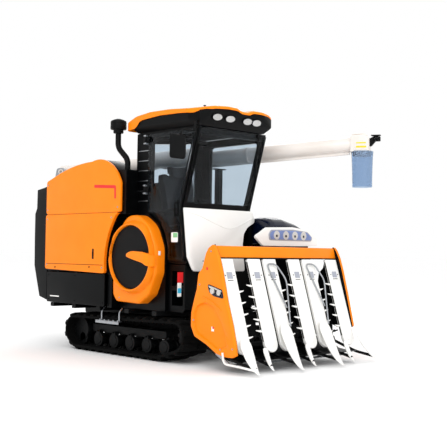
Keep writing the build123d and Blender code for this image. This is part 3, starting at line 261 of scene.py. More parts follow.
class Form:
    """A mesh under construction, in millimetres."""

    def __init__(self) -> None:
        """Starts empty."""
        self.mesh = bmesh.new()

    def add(self, *others: "Form") -> "Form":
        """Takes in copies of other forms.

        Args:
            others: The forms to add.

        Returns:
            This form.
        """
        for other in others:
            data = bpy.data.meshes.new("part")
            other.mesh.to_mesh(data)
            self.mesh.from_mesh(data)
            bpy.data.meshes.remove(data)
        return self

    def moved(self, matrix: Matrix) -> "Form":
        """Moves or turns the whole form and returns it."""
        bmesh.ops.transform(self.mesh, matrix=matrix, verts=self.mesh.verts)
        return self

    def mirrored(self) -> "Form":
        """Mirrors a copy across the plane of x = 0.

        Returns:
            The copy.
        """
        copy = Form().add(self)
        for vertex in copy.mesh.verts:
            vertex.co.x = -vertex.co.x
        bmesh.ops.recalc_face_normals(copy.mesh, faces=copy.mesh.faces)
        return copy

    def soften(self, width: float, angle: float = 30.0, segments: int = 3) -> "Form":
        """Rounds every edge that is sharper than an angle.

        Args:
            width: Width of the rounding.
            angle: Edges that turn less than this, in degrees, stay.
            segments: Facets across the rounding.

        Returns:
            This form.
        """
        edges = [e for e in self.mesh.edges if len(e.link_faces) == 2
            and e.calc_face_angle(0) > radians(angle)]
        bmesh.ops.bevel(self.mesh, geom=edges, offset=width, segments=segments, profile=0.55, affect="EDGES",
                        clamp_overlap=True)
        return self


def prism(outline: Sequence[Pair], across: Across, low: float, high: float) -> Form:
    """Pushes a closed outline along an axis.

    Args:
        outline: Corners (y, z), (x, z) or (x, y), after the axis.
        across: The axis.
        low: Where the form starts on it.
        high: Where it ends.

    Returns:
        The solid form.
    """
    form = Form()
    rings = [[form.mesh.verts.new(across.point(a, b, t)) for a, b in outline] for t in (low, high)]
    count = len(outline)
    for k in range(count):
        form.mesh.faces.new((rings[0][k], rings[0][(k + 1) % count], rings[1][(k + 1) % count], rings[1][k]))
    form.mesh.faces.new(rings[0][::-1])
    form.mesh.faces.new(rings[1])
    bmesh.ops.recalc_face_normals(form.mesh, faces=form.mesh.faces)
    return form


def block(low: Point, high: Point, edge: float = 0.0) -> Form:
    """Returns a box between two corners, with rounded edges where edge is given."""
    form = prism(oblong(*low[:2], *high[:2]), Across.Z, low[2], high[2])
    return form.soften(edge) if edge else form


def loft(rings: Sequence[Sequence[Point]], closed: bool = False) -> Form:
    """Joins rings of equal count into a skin.

    Args:
        rings: The rings in order, each a closed loop of points.
        closed: Whether the last ring joins the first; otherwise both ends are capped.

    Returns:
        The form.
    """
    form = Form()
    made = [[form.mesh.verts.new(p) for p in ring] for ring in rings]
    pairs = list(zip(made, made[1:] + made[:1])) if closed else list(zip(made, made[1:]))
    for a, b in pairs:
        for k in range(len(a)):
            form.mesh.faces.new((a[k], a[(k + 1) % len(a)], b[(k + 1) % len(a)], b[k]))
    if not closed:
        form.mesh.faces.new(made[0][::-1])
        form.mesh.faces.new(made[-1])
    bmesh.ops.recalc_face_normals(form.mesh, faces=form.mesh.faces)
    return form


def turned(profile: Sequence[Pair], start: Point = (0, 0, 0), along: Point = (0, 0, 1),
           sides: int = 32) -> Form:
    """A turned form about a line.

    Args:
        profile: (distance along the line, radius) from one end to the other.
        start: Where distance 0 lies.
        along: The line's direction.
        sides: Facets round it.

    Returns:
        The form, capped at both ends.
    """
    axis = Vector(along).normalized()
    side = axis.orthogonal().normalized()
    up = axis.cross(side)
    rings = []
    for t, r in profile:
        rings.append([Vector(start) + axis * t + (side * cos(a) + up * sin(a)) * r for a in around(sides)])
    return loft(rings)


def tube(points: Sequence[Point], radius: float, bend: float = 30.0, sides: int = 12) -> Form:
    """A wire or tube along a route with rounded bends.

    Args:
        points: The route's corners.
        radius: Radius of the wire.
        bend: Distance from each corner at which its curve starts.
        sides: Facets round the wire.

    Returns:
        The form, capped at both ends.
    """
    path = smooth_path(points, bend)
    forward = (path[1] - path[0]).normalized()
    side = forward.orthogonal().normalized()
    rings = []
    for k, place in enumerate(path):
        ahead = (path[min(k + 1, len(path) - 1)] - path[max(k - 1, 0)]).normalized()
        side = (side - ahead * side.dot(ahead)).normalized()
        up = ahead.cross(side)
        rings.append([place + side * (radius * cos(a)) + up * (radius * sin(a)) for a in around(sides)])
    return loft(rings)


class Repeater:
    """A Geometry Nodes tree that sets one shape on many places."""

    def __init__(self) -> None:
        """Builds the tree once: its inputs are the shape, its scale and its finish."""
        tree = bpy.data.node_groups.new("set_on_places", "GeometryNodeTree")
        panel = tree.interface
        panel.new_socket("Geometry", in_out="INPUT", socket_type="NodeSocketGeometry")
        self.sockets = {name: panel.new_socket(name, in_out="INPUT", socket_type=kind).identifier
                        for name, kind in (("Shape", "NodeSocketObject"), ("Scale", "NodeSocketFloat"),
                                           ("Finish", "NodeSocketMaterial"))}
        panel.new_socket("Geometry", in_out="OUTPUT", socket_type="NodeSocketGeometry")
        places = tree.nodes.new("NodeGroupInput")
        shape = tree.nodes.new("GeometryNodeObjectInfo")
        turn = tree.nodes.new("GeometryNodeInputNamedAttribute")
        turn.data_type = "FLOAT_VECTOR"
        turn.inputs["Name"].default_value = "turn"
        put = tree.nodes.new("GeometryNodeInstanceOnPoints")
        real = tree.nodes.new("GeometryNodeRealizeInstances")
        dress = tree.nodes.new("GeometryNodeSetMaterial")
        done = tree.nodes.new("NodeGroupOutput")
        link = tree.links.new
        link(places.outputs["Geometry"], put.inputs["Points"])
        link(places.outputs["Shape"], shape.inputs["Object"])
        link(shape.outputs["Geometry"], put.inputs["Instance"])
        link(turn.outputs["Attribute"], put.inputs["Rotation"])
        link(places.outputs["Scale"], put.inputs["Scale"])
        link(put.outputs["Instances"], real.inputs["Geometry"])
        link(real.outputs["Geometry"], dress.inputs["Geometry"])
        link(places.outputs["Finish"], dress.inputs["Material"])
        link(dress.outputs["Geometry"], done.inputs["Geometry"])
        self.tree = tree

    def on(self, shape: Form, places: Sequence[Placement], finish: "Finish", scale: float = 1.0) -> Form:
        """Sets a shape on places.

        Args:
            shape: The shape, drawn about the origin.
            places: Where each copy goes and how it is turned.
            finish: The finish that the tree sets.
            scale: Size of each copy.

        Returns:
            All the copies as one form.
        """
        pattern_mesh = bpy.data.meshes.new("pattern")
        shape.mesh.to_mesh(pattern_mesh)
        pattern = bpy.data.objects.new("pattern", pattern_mesh)
        points = bpy.data.meshes.new("places")
        points.from_pydata([p[:3] for p in places], [], [])
        turns = points.attributes.new("turn", "FLOAT_VECTOR", "POINT")
        for item, place in zip(turns.data, places):
            item.vector = place[3:]
        carrier = bpy.data.objects.new("places", points)
        bpy.context.collection.objects.link(carrier)
        bpy.context.collection.objects.link(pattern)
        modifier = carrier.modifiers.new("set_on_places", "NODES")
        modifier.node_group = self.tree
        modifier[self.sockets["Shape"]] = pattern
        modifier[self.sockets["Scale"]] = scale
        modifier[self.sockets["Finish"]] = finish.made()
        graph = bpy.context.evaluated_depsgraph_get()
        plain = bpy.data.meshes.new_from_object(carrier.evaluated_get(graph))
        carrier.modifiers.remove(modifier)
        form = Form()
        form.mesh.from_mesh(plain)
        for face in form.mesh.faces:
            face.material_index = 0
        for thing in (carrier, pattern):
            bpy.data.objects.remove(thing)
        bpy.data.meshes.remove(plain)
        return form


REPEATER = Repeater()


def piece(name: str, whole: Form, finish: "Finish", *replaces: str, body: str = "chassis",
          sharp: float = 34.0) -> bpy.types.Object:
    """Finishes a form as one piece that rides on a body.

    Args:
        name: The piece's name.
        whole: What it is made of, in millimetres.
        finish: Its finish.
        replaces: CAD nodes that it stands for.
        body: The CAD body that carries it.
        sharp: Edges that turn more than this, in degrees, stay sharp.

    Returns:
        The finished object.
    """
    data = bpy.data.meshes.new(name)
    whole.moved(TO_METRES).mesh.to_mesh(data)
    data.materials.append(finish.made())
    for polygon in data.polygons:
        polygon.use_smooth = True
    data.set_sharp_from_angle(angle=radians(sharp))
    made = bpy.data.objects.new(name, data)
    bpy.context.collection.objects.link(made)
    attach(made, body)
    if replaces:
        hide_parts(*replaces)
    log.info("%s: %d faces on %s", name, len(data.polygons), body)
    return made


def dress(finish: "Finish", *nodes: str) -> None:
    """Gives CAD nodes a finish.

    Args:
        finish: The finish.
        nodes: The nodes' names.
    """
    for node in nodes:
        data = frame["nodes"][node].data
        data.materials.clear()
        data.materials.append(finish.made())


def cad_box(node: str) -> tuple[Vector, Vector]:
    """Returns a CAD node's lowest and highest corner in millimetres."""
    low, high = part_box(node)
    return low * 1000, high * 1000


# ---------------------------------------------------------------- finishes
def linear(code: str) -> tuple[float, float, float, float]:
    """Turns an sRGB hex value into a linear colour."""
    parts = [int(code[k:k + 2], 16) / 255 for k in (1, 3, 5)]
    return (*[c / 12.92 if c <= 0.04045 else ((c + 0.055) / 1.055) ** 2.4 for c in parts], 1.0)


def add(tree: bpy.types.NodeTree, kind: str, links: dict[str, bpy.types.NodeSocket] | None = None,
        **settings: object) -> bpy.types.Node:
    """Adds a node to a tree with its settings and links.

    Args:
        tree: The node tree.
        kind: The node's type.
        links: Input name to the socket that feeds it.
        settings: Input values by name, with _ for a space, or the node's own properties.

    Returns:
        The node.
    """
    node = tree.nodes.new(kind)
    for key, value in settings.items():
        label = key.replace("_", " ")
        if label in node.inputs:
            node.inputs[label].default_value = value
        else:
            setattr(node, key, value)
    for label, socket in (links or {}).items():
        tree.links.new(socket, node.inputs[label])
    return node


class Texture(Enum):
    """What a surface shows close up."""

    SMOOTH = "smooth"
    GRAIN = "grain"
    HOLES = "holes"
    BRUSHED = "brushed"


@dataclass(frozen=True)
class Finish:
    """A finish of one real material: its colours, gloss and surface pattern."""

    name: str
    slot: str
    colour: str
    second: str                  # the colour that it drifts to in patches
    roughness: float
    metallic: float = 0.0
    coat: float = 0.0
    coat_roughness: float = 0.05
    patch_mm: float = 260.0      # size of the colour patches
    patch_share: float = 0.35
    grain_mm: float = 3.0
    grain_depth_mm: float = 0.06
    texture: Texture = Texture.GRAIN
    transmission: float = 0.0
    ior: float = 1.5
    specular: float = 0.5

    def made(self) -> bpy.types.Material:
        """Returns the material, built on first use."""
        return bpy.data.materials.get(self.name) or self.build()

    def build(self) -> bpy.types.Material:
        """Builds the node tree on Object coordinates.

        Returns:
            The material.
        """
        material = bpy.data.materials.new(self.name)
        material.use_nodes = True
        tree = material.node_tree
        shader = tree.nodes["Principled BSDF"]
        place = add(tree, "ShaderNodeTexCoord").outputs["Object"]
        patches = add(tree, "ShaderNodeTexNoise", {"Vector": place}, Scale=1000 / self.patch_mm, Detail=4.0)
        amount = add(tree, "ShaderNodeMapRange", {"Value": patches.outputs["Fac"]}, From_Min=0.35,
            From_Max=0.72, To_Min=0.0, To_Max=self.patch_share)
        colour = add(tree, "ShaderNodeMix", {"Factor": amount.outputs["Result"]}, data_type="RGBA")
        colour.inputs[6].default_value = linear(self.colour)
        colour.inputs[7].default_value = linear(self.second)
        tree.links.new(colour.outputs[2], shader.inputs["Base Color"])
        gloss = add(tree, "ShaderNodeMapRange", {"Value": patches.outputs["Fac"]}, From_Min=0.3,
            From_Max=0.75, To_Min=max(self.roughness - 0.05, 0.02), To_Max=self.roughness + 0.07)
        tree.links.new(gloss.outputs["Result"], shader.inputs["Roughness"])
        self.pattern(tree, shader, place, colour.outputs[2])
        for label, value in (("Metallic", self.metallic), ("Coat Weight", self.coat),
                ("Coat Roughness", self.coat_roughness), ("Transmission Weight", self.transmission),
                ("Specular IOR Level", self.specular)):
            shader.inputs[label].default_value = value
        if not self.metallic:
            shader.inputs["IOR"].default_value = self.ior
        return material

    def pattern(self, tree: bpy.types.NodeTree, shader: bpy.types.Node, place: bpy.types.NodeSocket,
                colour: bpy.types.NodeSocket) -> None:
        """Adds the fine surface: grain, brush lines or punched holes.

        Args:
            tree: The material's tree.
            shader: Its shader.
            place: Object coordinates.
            colour: The colour so far.
        """
        if self.texture is Texture.SMOOTH:
            return
        if self.texture is Texture.HOLES:
            cells = add(tree, "ShaderNodeTexVoronoi", {"Vector": place}, Scale=1000 / self.grain_mm,
                Randomness=0.0)
            height = add(tree, "ShaderNodeMapRange", {"Value": cells.outputs["Distance"]}, From_Min=0.3,
                From_Max=0.38)
            dark = add(tree, "ShaderNodeMix", {"Factor": height.outputs["Result"]}, data_type="RGBA")
            dark.inputs[6].default_value = linear("#020203")
            tree.links.new(colour, dark.inputs[7])
            tree.links.new(dark.outputs[2], shader.inputs["Base Color"])
            source = height.outputs["Result"]
        else:
            stretch = (1.0, 1.0, 0.04) if self.texture is Texture.BRUSHED else (1.0, 1.0, 1.0)
            squeezed = add(tree, "ShaderNodeMapping", {"Vector": place}, Scale=stretch)
            grain = add(tree, "ShaderNodeTexNoise", {"Vector": squeezed.outputs["Vector"]},
                Scale=1000 / self.grain_mm, Detail=2.0)
            source = grain.outputs["Fac"]
        bump = add(tree, "ShaderNodeBump", {"Height": source}, Strength=0.6,
            Distance=self.grain_depth_mm / 1000)
        tree.links.new(bump.outputs["Normal"], shader.inputs["Normal"])


# two-coat machine enamel, sprayed and baked: deep orange under a clear gloss, faint orange peel
ORANGE = Finish("enamel_orange", "orange_paint", "#FF880C", "#FB7C05", 0.36, coat=0.06, grain_mm=9.0,
                grain_depth_mm=0.03, specular=0.14)
# white baked enamel on sheet steel, slightly warm
WHITE = Finish("enamel_white", "white_paint", "#F4F3F0", "#E9E7E2", 0.34, coat=0.15, grain_mm=9.0,
    grain_depth_mm=0.03)
# black semi-gloss enamel on body steel
BLACK = Finish("enamel_black", "dark_paint", "#020304", "#050607", 0.38, grain_mm=7.0, grain_depth_mm=0.04,
               specular=0.1)
# moulded black polypropylene with a leather grain
MOULDED = Finish("polypropylene_black", "black_plastic", "#040506", "#08090A", 0.5, grain_mm=4.0,
                 grain_depth_mm=0.12, specular=0.12)
# glossy deep navy acrylic-capped bonnet
NAVY = Finish("acrylic_cap_navy", "navy_cover", "#040C20", "#07122C", 0.16, coat=0.2, grain_mm=12.0,
              grain_depth_mm=0.02, specular=0.3)
# carbon-black track rubber, moulded, dusty in patches
RUBBER = Finish("track_rubber_black", "track_rubber", "#050505", "#0C0B0A", 0.85, grain_mm=5.0,
                grain_depth_mm=0.4, specular=0.1)
# chassis steel under black primer
FRAME_STEEL = Finish("primer_black_steel", "frame_steel", "#050607", "#0B0B0C", 0.50, grain_mm=5.0,
                     grain_depth_mm=0.1, specular=0.14)
# sand-cast iron with a rough skin
CAST = Finish("cast_iron_grey", "cast_housing", "#2A2B2D", "#3A3835", 0.66, metallic=0.4, grain_mm=4.0,
    grain_depth_mm=0.3)
# galvanised and worn mild steel
BARE = Finish("zinc_plated_steel", "bare_steel", "#A9ACB0", "#7C7E82", 0.34, metallic=1.0, grain_mm=2.5,
              grain_depth_mm=0.05, texture=Texture.BRUSHED)
# hard chrome on ground bar
CHROME = Finish("hard_chrome", "rod_chrome", "#D8DADC", "#C8CBCE", 0.08, metallic=1.0, texture=Texture.SMOOTH)
# smoked safety glass
GLASS = Finish("smoked_safety_glass", "window_glass", "#DAE3EA", "#D2DCE4", 0.0, texture=Texture.SMOOTH,
               transmission=1.0, ior=1.18, specular=0.3)
# clear polycarbonate lamp lens
LENS = Finish("polycarbonate_lens", "lamp_lens", "#F2F5F8", "#E6EBF0", 0.0, texture=Texture.SMOOTH,
    transmission=1.0, ior=1.15)
# vacuum-metallised reflector behind a lens
REFLECTOR = Finish("metallised_reflector", "lamp_lens", "#EFE9E2", "#DDD3C8", 0.4, metallic=0.5,
                   texture=Texture.SMOOTH)
# blue-grey metallised chamber behind a lens, darker than its reflectors
CHAMBER = Finish("lamp_chamber_blue", "lamp_lens", "#8FA1D6", "#7C8FC6", 0.4, metallic=0.2,
    texture=Texture.SMOOTH)
# soft blue-tinted PVC sleeve
VINYL = Finish("soft_pvc_blue", "sleeve_vinyl", "#BFD0E4", "#ABC2DE", 0.1, texture=Texture.SMOOTH,
    transmission=0.96, ior=1.2)
# black vinyl-coated seat fabric
SEAT = Finish("seat_vinyl_black", "seat_vinyl", "#15161A", "#1E1F24", 0.55, grain_mm=6.0, grain_depth_mm=0.3)
# punched black steel sheet of the cooling screen, its 4 mm holes drawn as 14 mm to show
PUNCHED = Finish("punched_sheet_black", "black_plastic", "#030304", "#070708", 0.45, grain_mm=14.0,
    specular=0.12, grain_depth_mm=0.8, texture=Texture.HOLES)
# red, blue, yellow, pale grey and pale green vinyl film
RED_FILM = Finish("vinyl_film_red", "orange_paint", "#E0060E", "#D0050C", 0.45, texture=Texture.SMOOTH)
BLUE_FILM = Finish("vinyl_film_blue", "navy_cover", "#2FB4DC", "#27A6CE", 0.35, texture=Texture.SMOOTH)
YELLOW_FILM = Finish("vinyl_film_yellow", "orange_paint", "#F2D21C", "#EACA14", 0.35, texture=Texture.SMOOTH)
GREY_FILM = Finish("vinyl_film_grey", "white_paint", "#A6A9B4", "#9A9DA9", 0.4, texture=Texture.SMOOTH)
GREEN_FILM = Finish("vinyl_film_green", "white_paint", "#7DBE86", "#74B57D", 0.4, texture=Texture.SMOOTH)
# silvered mirror glass
MIRROR = Finish("mirror_glass_silvered", "rod_chrome", "#C9CED2", "#BFC5CA", 0.03, metallic=1.0,
    texture=Texture.SMOOTH)
# off-white enamel of the auger tube, warmer than the body's white, drifting to tan in patches
AUGER_WHITE = Finish("enamel_off_white", "white_paint", "#E6E0DA", "#D6CCC2", 0.36, coat=0.15, grain_mm=9.0,
                     grain_depth_mm=0.03)
# pale matt studio floor
FLOOR = Finish("studio_floor", "white_paint", "#FFFFFF", "#FEFEFE", 0.9, grain_mm=20.0, grain_depth_mm=0.02)


# ---------------------------------------------------------------- studio
@dataclass
class Studio:
    """Pale floor, soft boxes and the camera."""

    floor_half: float = 400000.0
    camera_at: Point = (-7338.0, -8456.0, 1236.0)
    heading: float = 43.49        # degrees from +Y towards +X
    pitch: float = 1.920          # degrees upwards
    roll: float = 0.849
    lens: float = 71.43
    sensor: float = 36.0

    def build(self) -> None:
        """Sets the floor, the lights and the camera."""
        self.floor()
        self.sky()
        self.soft_box("key", (-9.5, -7.5, 9.5), 7.0, 620.0)
        self.soft_box("fill", (-1.0, -13.0, 5.0), 8.0, 160.0)
        self.soft_box("rim", (8.5, 7.5, 9.0), 6.0, 300.0)
        self.camera()
        bpy.context.scene.view_settings.view_transform = "Standard"

    def floor(self) -> None:
        """Lays the floor just under the track lugs."""
        half = self.floor_half
        slab = block((-half, -half, -20.0), (half, half, -0.5))
        data = bpy.data.meshes.new("floor")
        slab.moved(TO_METRES).mesh.to_mesh(data)
        data.materials.append(FLOOR.made())
        plane = bpy.data.objects.new("floor", data)
        bpy.context.collection.objects.link(plane)

    def sky(self) -> None:
        """Sets an even pale surround."""
        world = bpy.data.worlds.new("studio")
        bpy.context.scene.world = world
        world.use_nodes = True
        ground = world.node_tree.nodes["Background"]
        ground.inputs["Color"].default_value = linear("#FFFFFF")
        ground.inputs["Strength"].default_value = 1.0

    def soft_box(self, name: str, at: Point, size: float, watts: float) -> None:
        """Hangs one square soft box that faces the machine.

        Args:
            name: The lamp's name.
            at: Its place in metres.
            size: Its side in metres.
            watts: Its power.
        """
        lamp = bpy.data.lights.new(name, "AREA")
        lamp.size, lamp.energy = size, watts
        holder = bpy.data.objects.new(name, lamp)
        holder.location = at
        holder.rotation_euler = (Vector((0.0, -0.3, 1.2)) - Vector(at)).to_track_quat("-Z", "Y").to_euler()
        bpy.context.collection.objects.link(holder)

    def camera(self) -> None:
        """Places the camera and makes it the scene's."""
        heading, pitch, roll = radians(self.heading), radians(self.pitch), radians(self.roll)
        ahead = Vector((sin(heading) * cos(pitch), cos(heading) * cos(pitch), sin(pitch)))
        right = Vector((cos(heading), -sin(heading), 0.0))
        up = right.cross(ahead)
        across, over = right * cos(roll) + up * sin(roll), up * cos(roll) - right * sin(roll)
        lens = bpy.data.cameras.new("camera")
        lens.lens, lens.sensor_width = self.lens, self.sensor
        holder = bpy.data.objects.new("camera", lens)
        holder.matrix_world = Matrix((across, over, -ahead)).transposed().to_4x4()
        holder.location = Vector(self.camera_at) / 1000
        bpy.context.collection.objects.link(holder)
        bpy.context.scene.camera = holder


# ---------------------------------------------------------------- crawler tracks
@dataclass
class CrawlerTracks:
    """Rubber belts with raked lugs, ground rollers, idlers and drive sprockets."""

    centre: float = 735.0
    width: float = 450.0
    thickness: float = 28.0
    step: float = 18.0            # about the length of each facet of the belt
    lug_count: int = 34
    lug_height: float = 32.0
    lug_root: float = 39.0
    lug_tip: float = 23.0
    lug_rake: float = 26.0
    roller_z: float = 150.0
    roller_radius: float = 89.0
    roller_half: float = 100.0
    teeth: int = 11
    bolt_circle: float = 82.0
    # station, height and radius of each wheel that the belt runs round
    wheels: tuple[Point, ...] = ((-640, 150, 90), (960, 150, 90), (1000, 250, 150), (-950, 300, 145))
    roller_ys: tuple[float, ...] = (-640.0, -320.0, 0.0, 320.0, 640.0, 960.0)

    def loop(self, offset: float) -> list[Pair]:
        """The belt's closed line in side view.

        Args:
            offset: Distance outside the wheels.

        Returns:
            Points (y, z), evenly spaced on each run and arc.
        """
        following = self.wheels[1:] + self.wheels[:1]
        normals = [atan2(z1 - z0, y1 - y0) - acos((r0 - r1) / hypot(y1 - y0, z1 - z0))
                   for (y0, z0, r0), (y1, z1, r1) in zip(self.wheels, following)]
        line: list[Pair] = []
        for k, (y, z, r) in enumerate(self.wheels):
            first, last = normals[k - 1], normals[k]
            while last < first:
                last += 2 * pi
            count = max(2, int((last - first) * (r + offset) / self.step))
            line += [(y + (r + offset) * cos(a), z + (r + offset) * sin(a))
                     for a in (first + (last - first) * n / count for n in range(count + 1))]
        return divided(line, self.step)

    def places(self, count: int, offset: float) -> list[tuple[float, float, float]]:
        """Evenly spaced places on the belt.

        Args:
            count: How many.
            offset: Distance outside the wheels.

        Returns:
            For each the place (y, z) and the outward angle from +Y.
        """
        line = self.loop(offset)
        spans = [hypot(b[0] - a[0], b[1] - a[1]) for a, b in zip(line, line[1:] + line[:1])]
        total, found, walked, k = sum(spans), [], 0.0, 0
        for n in range(count):
            target = total * n / count
            while walked + spans[k] < target:
                walked += spans[k]
                k += 1
            a, b = Vector(line[k]), Vector(line[(k + 1) % len(line)])
            here, ahead = a.lerp(b, (target - walked) / spans[k]), b - a
            found.append((here.x, here.y, atan2(-ahead.x, ahead.y)))
        return found

    def belt(self, side: int) -> Form:
        """One belt: carcass, raked lugs, inner guide bars.

        Args:
            side: -1 for the right track, 1 for the left.

        Returns:
            The belt.
        """
        x, half, rolled = side * self.centre, self.width / 2, 8
        outer, inner = self.loop(self.thickness), self.loop(0.0)
        inner = [inner[round(k * len(inner) / len(outer)) % len(inner)] for k in range(len(outer))]
        rings = []
        for (oy, oz), (iy, iz) in zip(outer, inner):
            ey, ez = Vector((oy, oz)) - Vector((oy - iy, oz - iz)).normalized() * 5.0
            rings.append([(x - half, iy, iz), (x - half, ey, ez), (x - half + rolled, oy, oz),
                          (x + half - rolled, oy, oz), (x + half, ey, ez), (x + half, iy, iz)])
        lug = self.lug()
        lug.add(lug.mirrored())
        horn = block((-55, -14, -34), (-30, 14, 4), 5).add(block((30, -14, -34), (55, 14, 4), 5))
        band = loft(rings, closed=True)
        treads = self.places(self.lug_count, self.thickness)
        guides = [spot for spot in self.places(self.lug_count, 0.0) if self.clear(*spot[:2])]
        for shape, spots in ((lug, treads), (horn, guides)):
            band.add(REPEATER.on(shape, [(x, y, z, a - pi / 2, 0.0, 0.0) for y, z, a in spots], RUBBER))
        return band

    def clear(self, y: float, z: float) -> bool:
        """Returns whether a guide bar at a place stays clear of the idler and the sprocket."""
        return all(hypot(y - wy, z - wz) > r + 28 for wy, wz, r in self.wheels[2:])

    def lug(self) -> Form:
        """One raked lug of the half belt, its tread upwards.

        Returns:
            The lug.
        """
        outer, rake, rings = self.width / 2 - 2, self.lug_rake, []
        for x, y, share in ((14, 0, 0.86), (84, rake * 0.2, 1), (outer - 46, rake * 0.8, 1),
                (outer, rake, 0.62)):
            tall = self.lug_height * share
            rings.append([(x, y - self.lug_root, -4.0), (x, y - self.lug_tip, tall),
                (x, y + self.lug_tip, tall), (x, y + self.lug_root, -4.0)])
        return loft(rings).soften(4.0, 28.0, 2)

    def rollers(self, side: int) -> Form:
        """The beam with flanged ground rollers, idler, tensioner and carrier roller.

        Args:
            side: -1 for the right track, 1 for the left.

        Returns:
            The frame.
        """
        x = side * self.centre
        beam = [(-630, 255), (-570, 235), (810, 235), (810, 330), (-630, 330)]
        frame = panel(beam, Across.X, x - 55, x + 55, 12, 5, 30)
        for y in self.roller_ys:
            frame.add(self.flanged(x, y))
            if -600 < y < 900:
                for low in (x - 98, x + 86):
                    cheek = [(y - 42, 130), (y + 42, 130), (y + 30, 262), (y - 30, 262)]
                    frame.add(prism(rounded(cheek, 14), Across.X, low, low + 12))
                frame.add(block((x - 98, y - 24, 236), (x + 98, y + 24, 262), 4))
        return frame.add(self.idler(x), block((x - 40, -660, 130), (x + 40, -600, 265), 6),
                         turned([(0, 26), (180, 26), (180, 34), (240, 34)], (x, 800, 262), (0, 1, -0.05), 20))

    def flanged(self, x: float, y: float) -> Form:
        """One double-flanged roller about an axle along X.

        Args:
            x: The track's middle.
            y: The roller's station.

        Returns:
            The roller.
        """
        r, wide = self.roller_radius, 2 * self.roller_half
        half = [(0, 22), (0, 58), (6, 62), (6, r - 3), (9, r), (58, r), (62, r - 4), (66, r - 30)]
        return turned(half + [(wide - t, e) for t, e in half[::-1]], (x - self.roller_half, y, self.roller_z),
                      (1, 0, 0), 36)

    def idler(self, x: float) -> Form:
        """The rear idler wheel, with its web and hub, about an axle along X.

        Args:
            x: The track's middle.

        Returns:
            The wheel with its hub and tension arm.
        """
        y, z, r = self.wheels[2]
        rim = turned([(0, r - 24), (0, r - 2), (3, r), (197, r), (200, r - 2), (200, r - 24), (120, r - 26),
                      (118, 52), (120, 48), (120, 30), (80, 30), (80, 48), (82, 52), (80, r - 26)],
                     (x - self.roller_half, y, z), (1, 0, 0), 40)
        hub = [(0, 20), (0, 44), (8, 50), (196, 50), (204, 44), (204, 20)]
        return rim.add(turned(hub, (x - 102, y, z), (1, 0, 0), 24),
                       block((x - 34, 790, z - 26), (x + 34, y - 20, z + 26), 6))

    def sprocket(self, side: int) -> Form:
        """The toothed drive wheel with its bolted hub.

        Args:
            side: -1 for the right track, 1 for the left.

        Returns:
            The sprocket.
        """
        x, (y, z, r) = side * self.centre, self.wheels[3]
        flank = [(-0.25, r - 26), (-0.19, r - 22), (-0.12, r - 5), (-0.08, r - 1)]
        tooth = flank + [(-turn, far) for turn, far in flank[::-1]]
        rim = [(y + far * cos(a + turn), z + far * sin(a + turn)) for a in around(self.teeth)
            for turn, far in tooth]
        wheel = prism(rim, Across.X, x - 34, x + 34).soften(4, 25, 2)
        low, wide = min(x - side * 94, x + side * 58), 152
        hub = [(0, 30), (0, 52), (8, 61), (wide - 8, 61), (wide, 52), (wide, 30)]
        wheel.add(turned(hub, (low, y, z), (1, 0, 0), 32))
        for a in around(6):
            spot = (x - side * 41, y + self.bolt_circle * cos(a), z + self.bolt_circle * sin(a))
            wheel.add(turned([(0, 9), (82, 9), (82, 5)], spot, (side, 0, 0), 6))
        return wheel

    def build(self) -> None:
        """Makes both tracks."""
        for side, name in ((-1, "right"), (1, "left")):
            piece(f"rubber_track_{name}", self.belt(side), RUBBER, f"track_belt_{name}")
            piece(f"track_rollers_{name}", self.rollers(side), FRAME_STEEL, f"track_frame_{name}")
            piece(f"sprocket_wheel_{name}", self.sprocket(side), FRAME_STEEL, f"drive_sprocket_{name}")


# ---------------------------------------------------------------- small shared parts
def bolts(places: Iterable[Point], direction: str, radius: float) -> Form:
    """Hexagon bolt heads on washers, all facing one way.

    Args:
        places: Where they sit.
        direction: The axis that they face, such as -x.
        radius: Radius over a head's corners.

    Returns:
        All the heads.
    """
    turn = {"-x": (0.0, -pi / 2, 0.0), "+x": (0.0, pi / 2, 0.0)}[direction]
    return REPEATER.on(bolt(radius), [(*p, *turn) for p in places], BARE)


def bolt(radius: float) -> Form:
    """Returns a hexagon bolt head on its washer, standing up along +Z."""
    washer = turned([(-1, radius * 1.45), (1.6, radius * 1.45), (2.0, radius * 1.35)], sides=16)
    return washer.add(turned([(1.5, radius), (4.5, radius), (6, radius * 0.82)], sides=6))


def panel(outline: Sequence[Pair], across: Across, low: float, high: float,
        radius: float | Sequence[float] = 30.0, edge: float = 6.0, angle: float = 40.0,
        segments: int = 3) -> Form:
    """A sheet or moulding with rounded corners and rolled edges.

    Args:
        outline: Its corners.
        across: The axis across it.
        low: Where it starts on that axis.
        high: Where it ends.
        radius: One radius for its corners, or one for each.
        edge: Width of the rolled edge.
        angle: Edges that turn less than this, in degrees, stay.
        segments: Facets across the edge.

    Returns:
        The panel.
    """
    return prism(rounded(outline, radius), across, low, high).soften(edge, angle, segments)


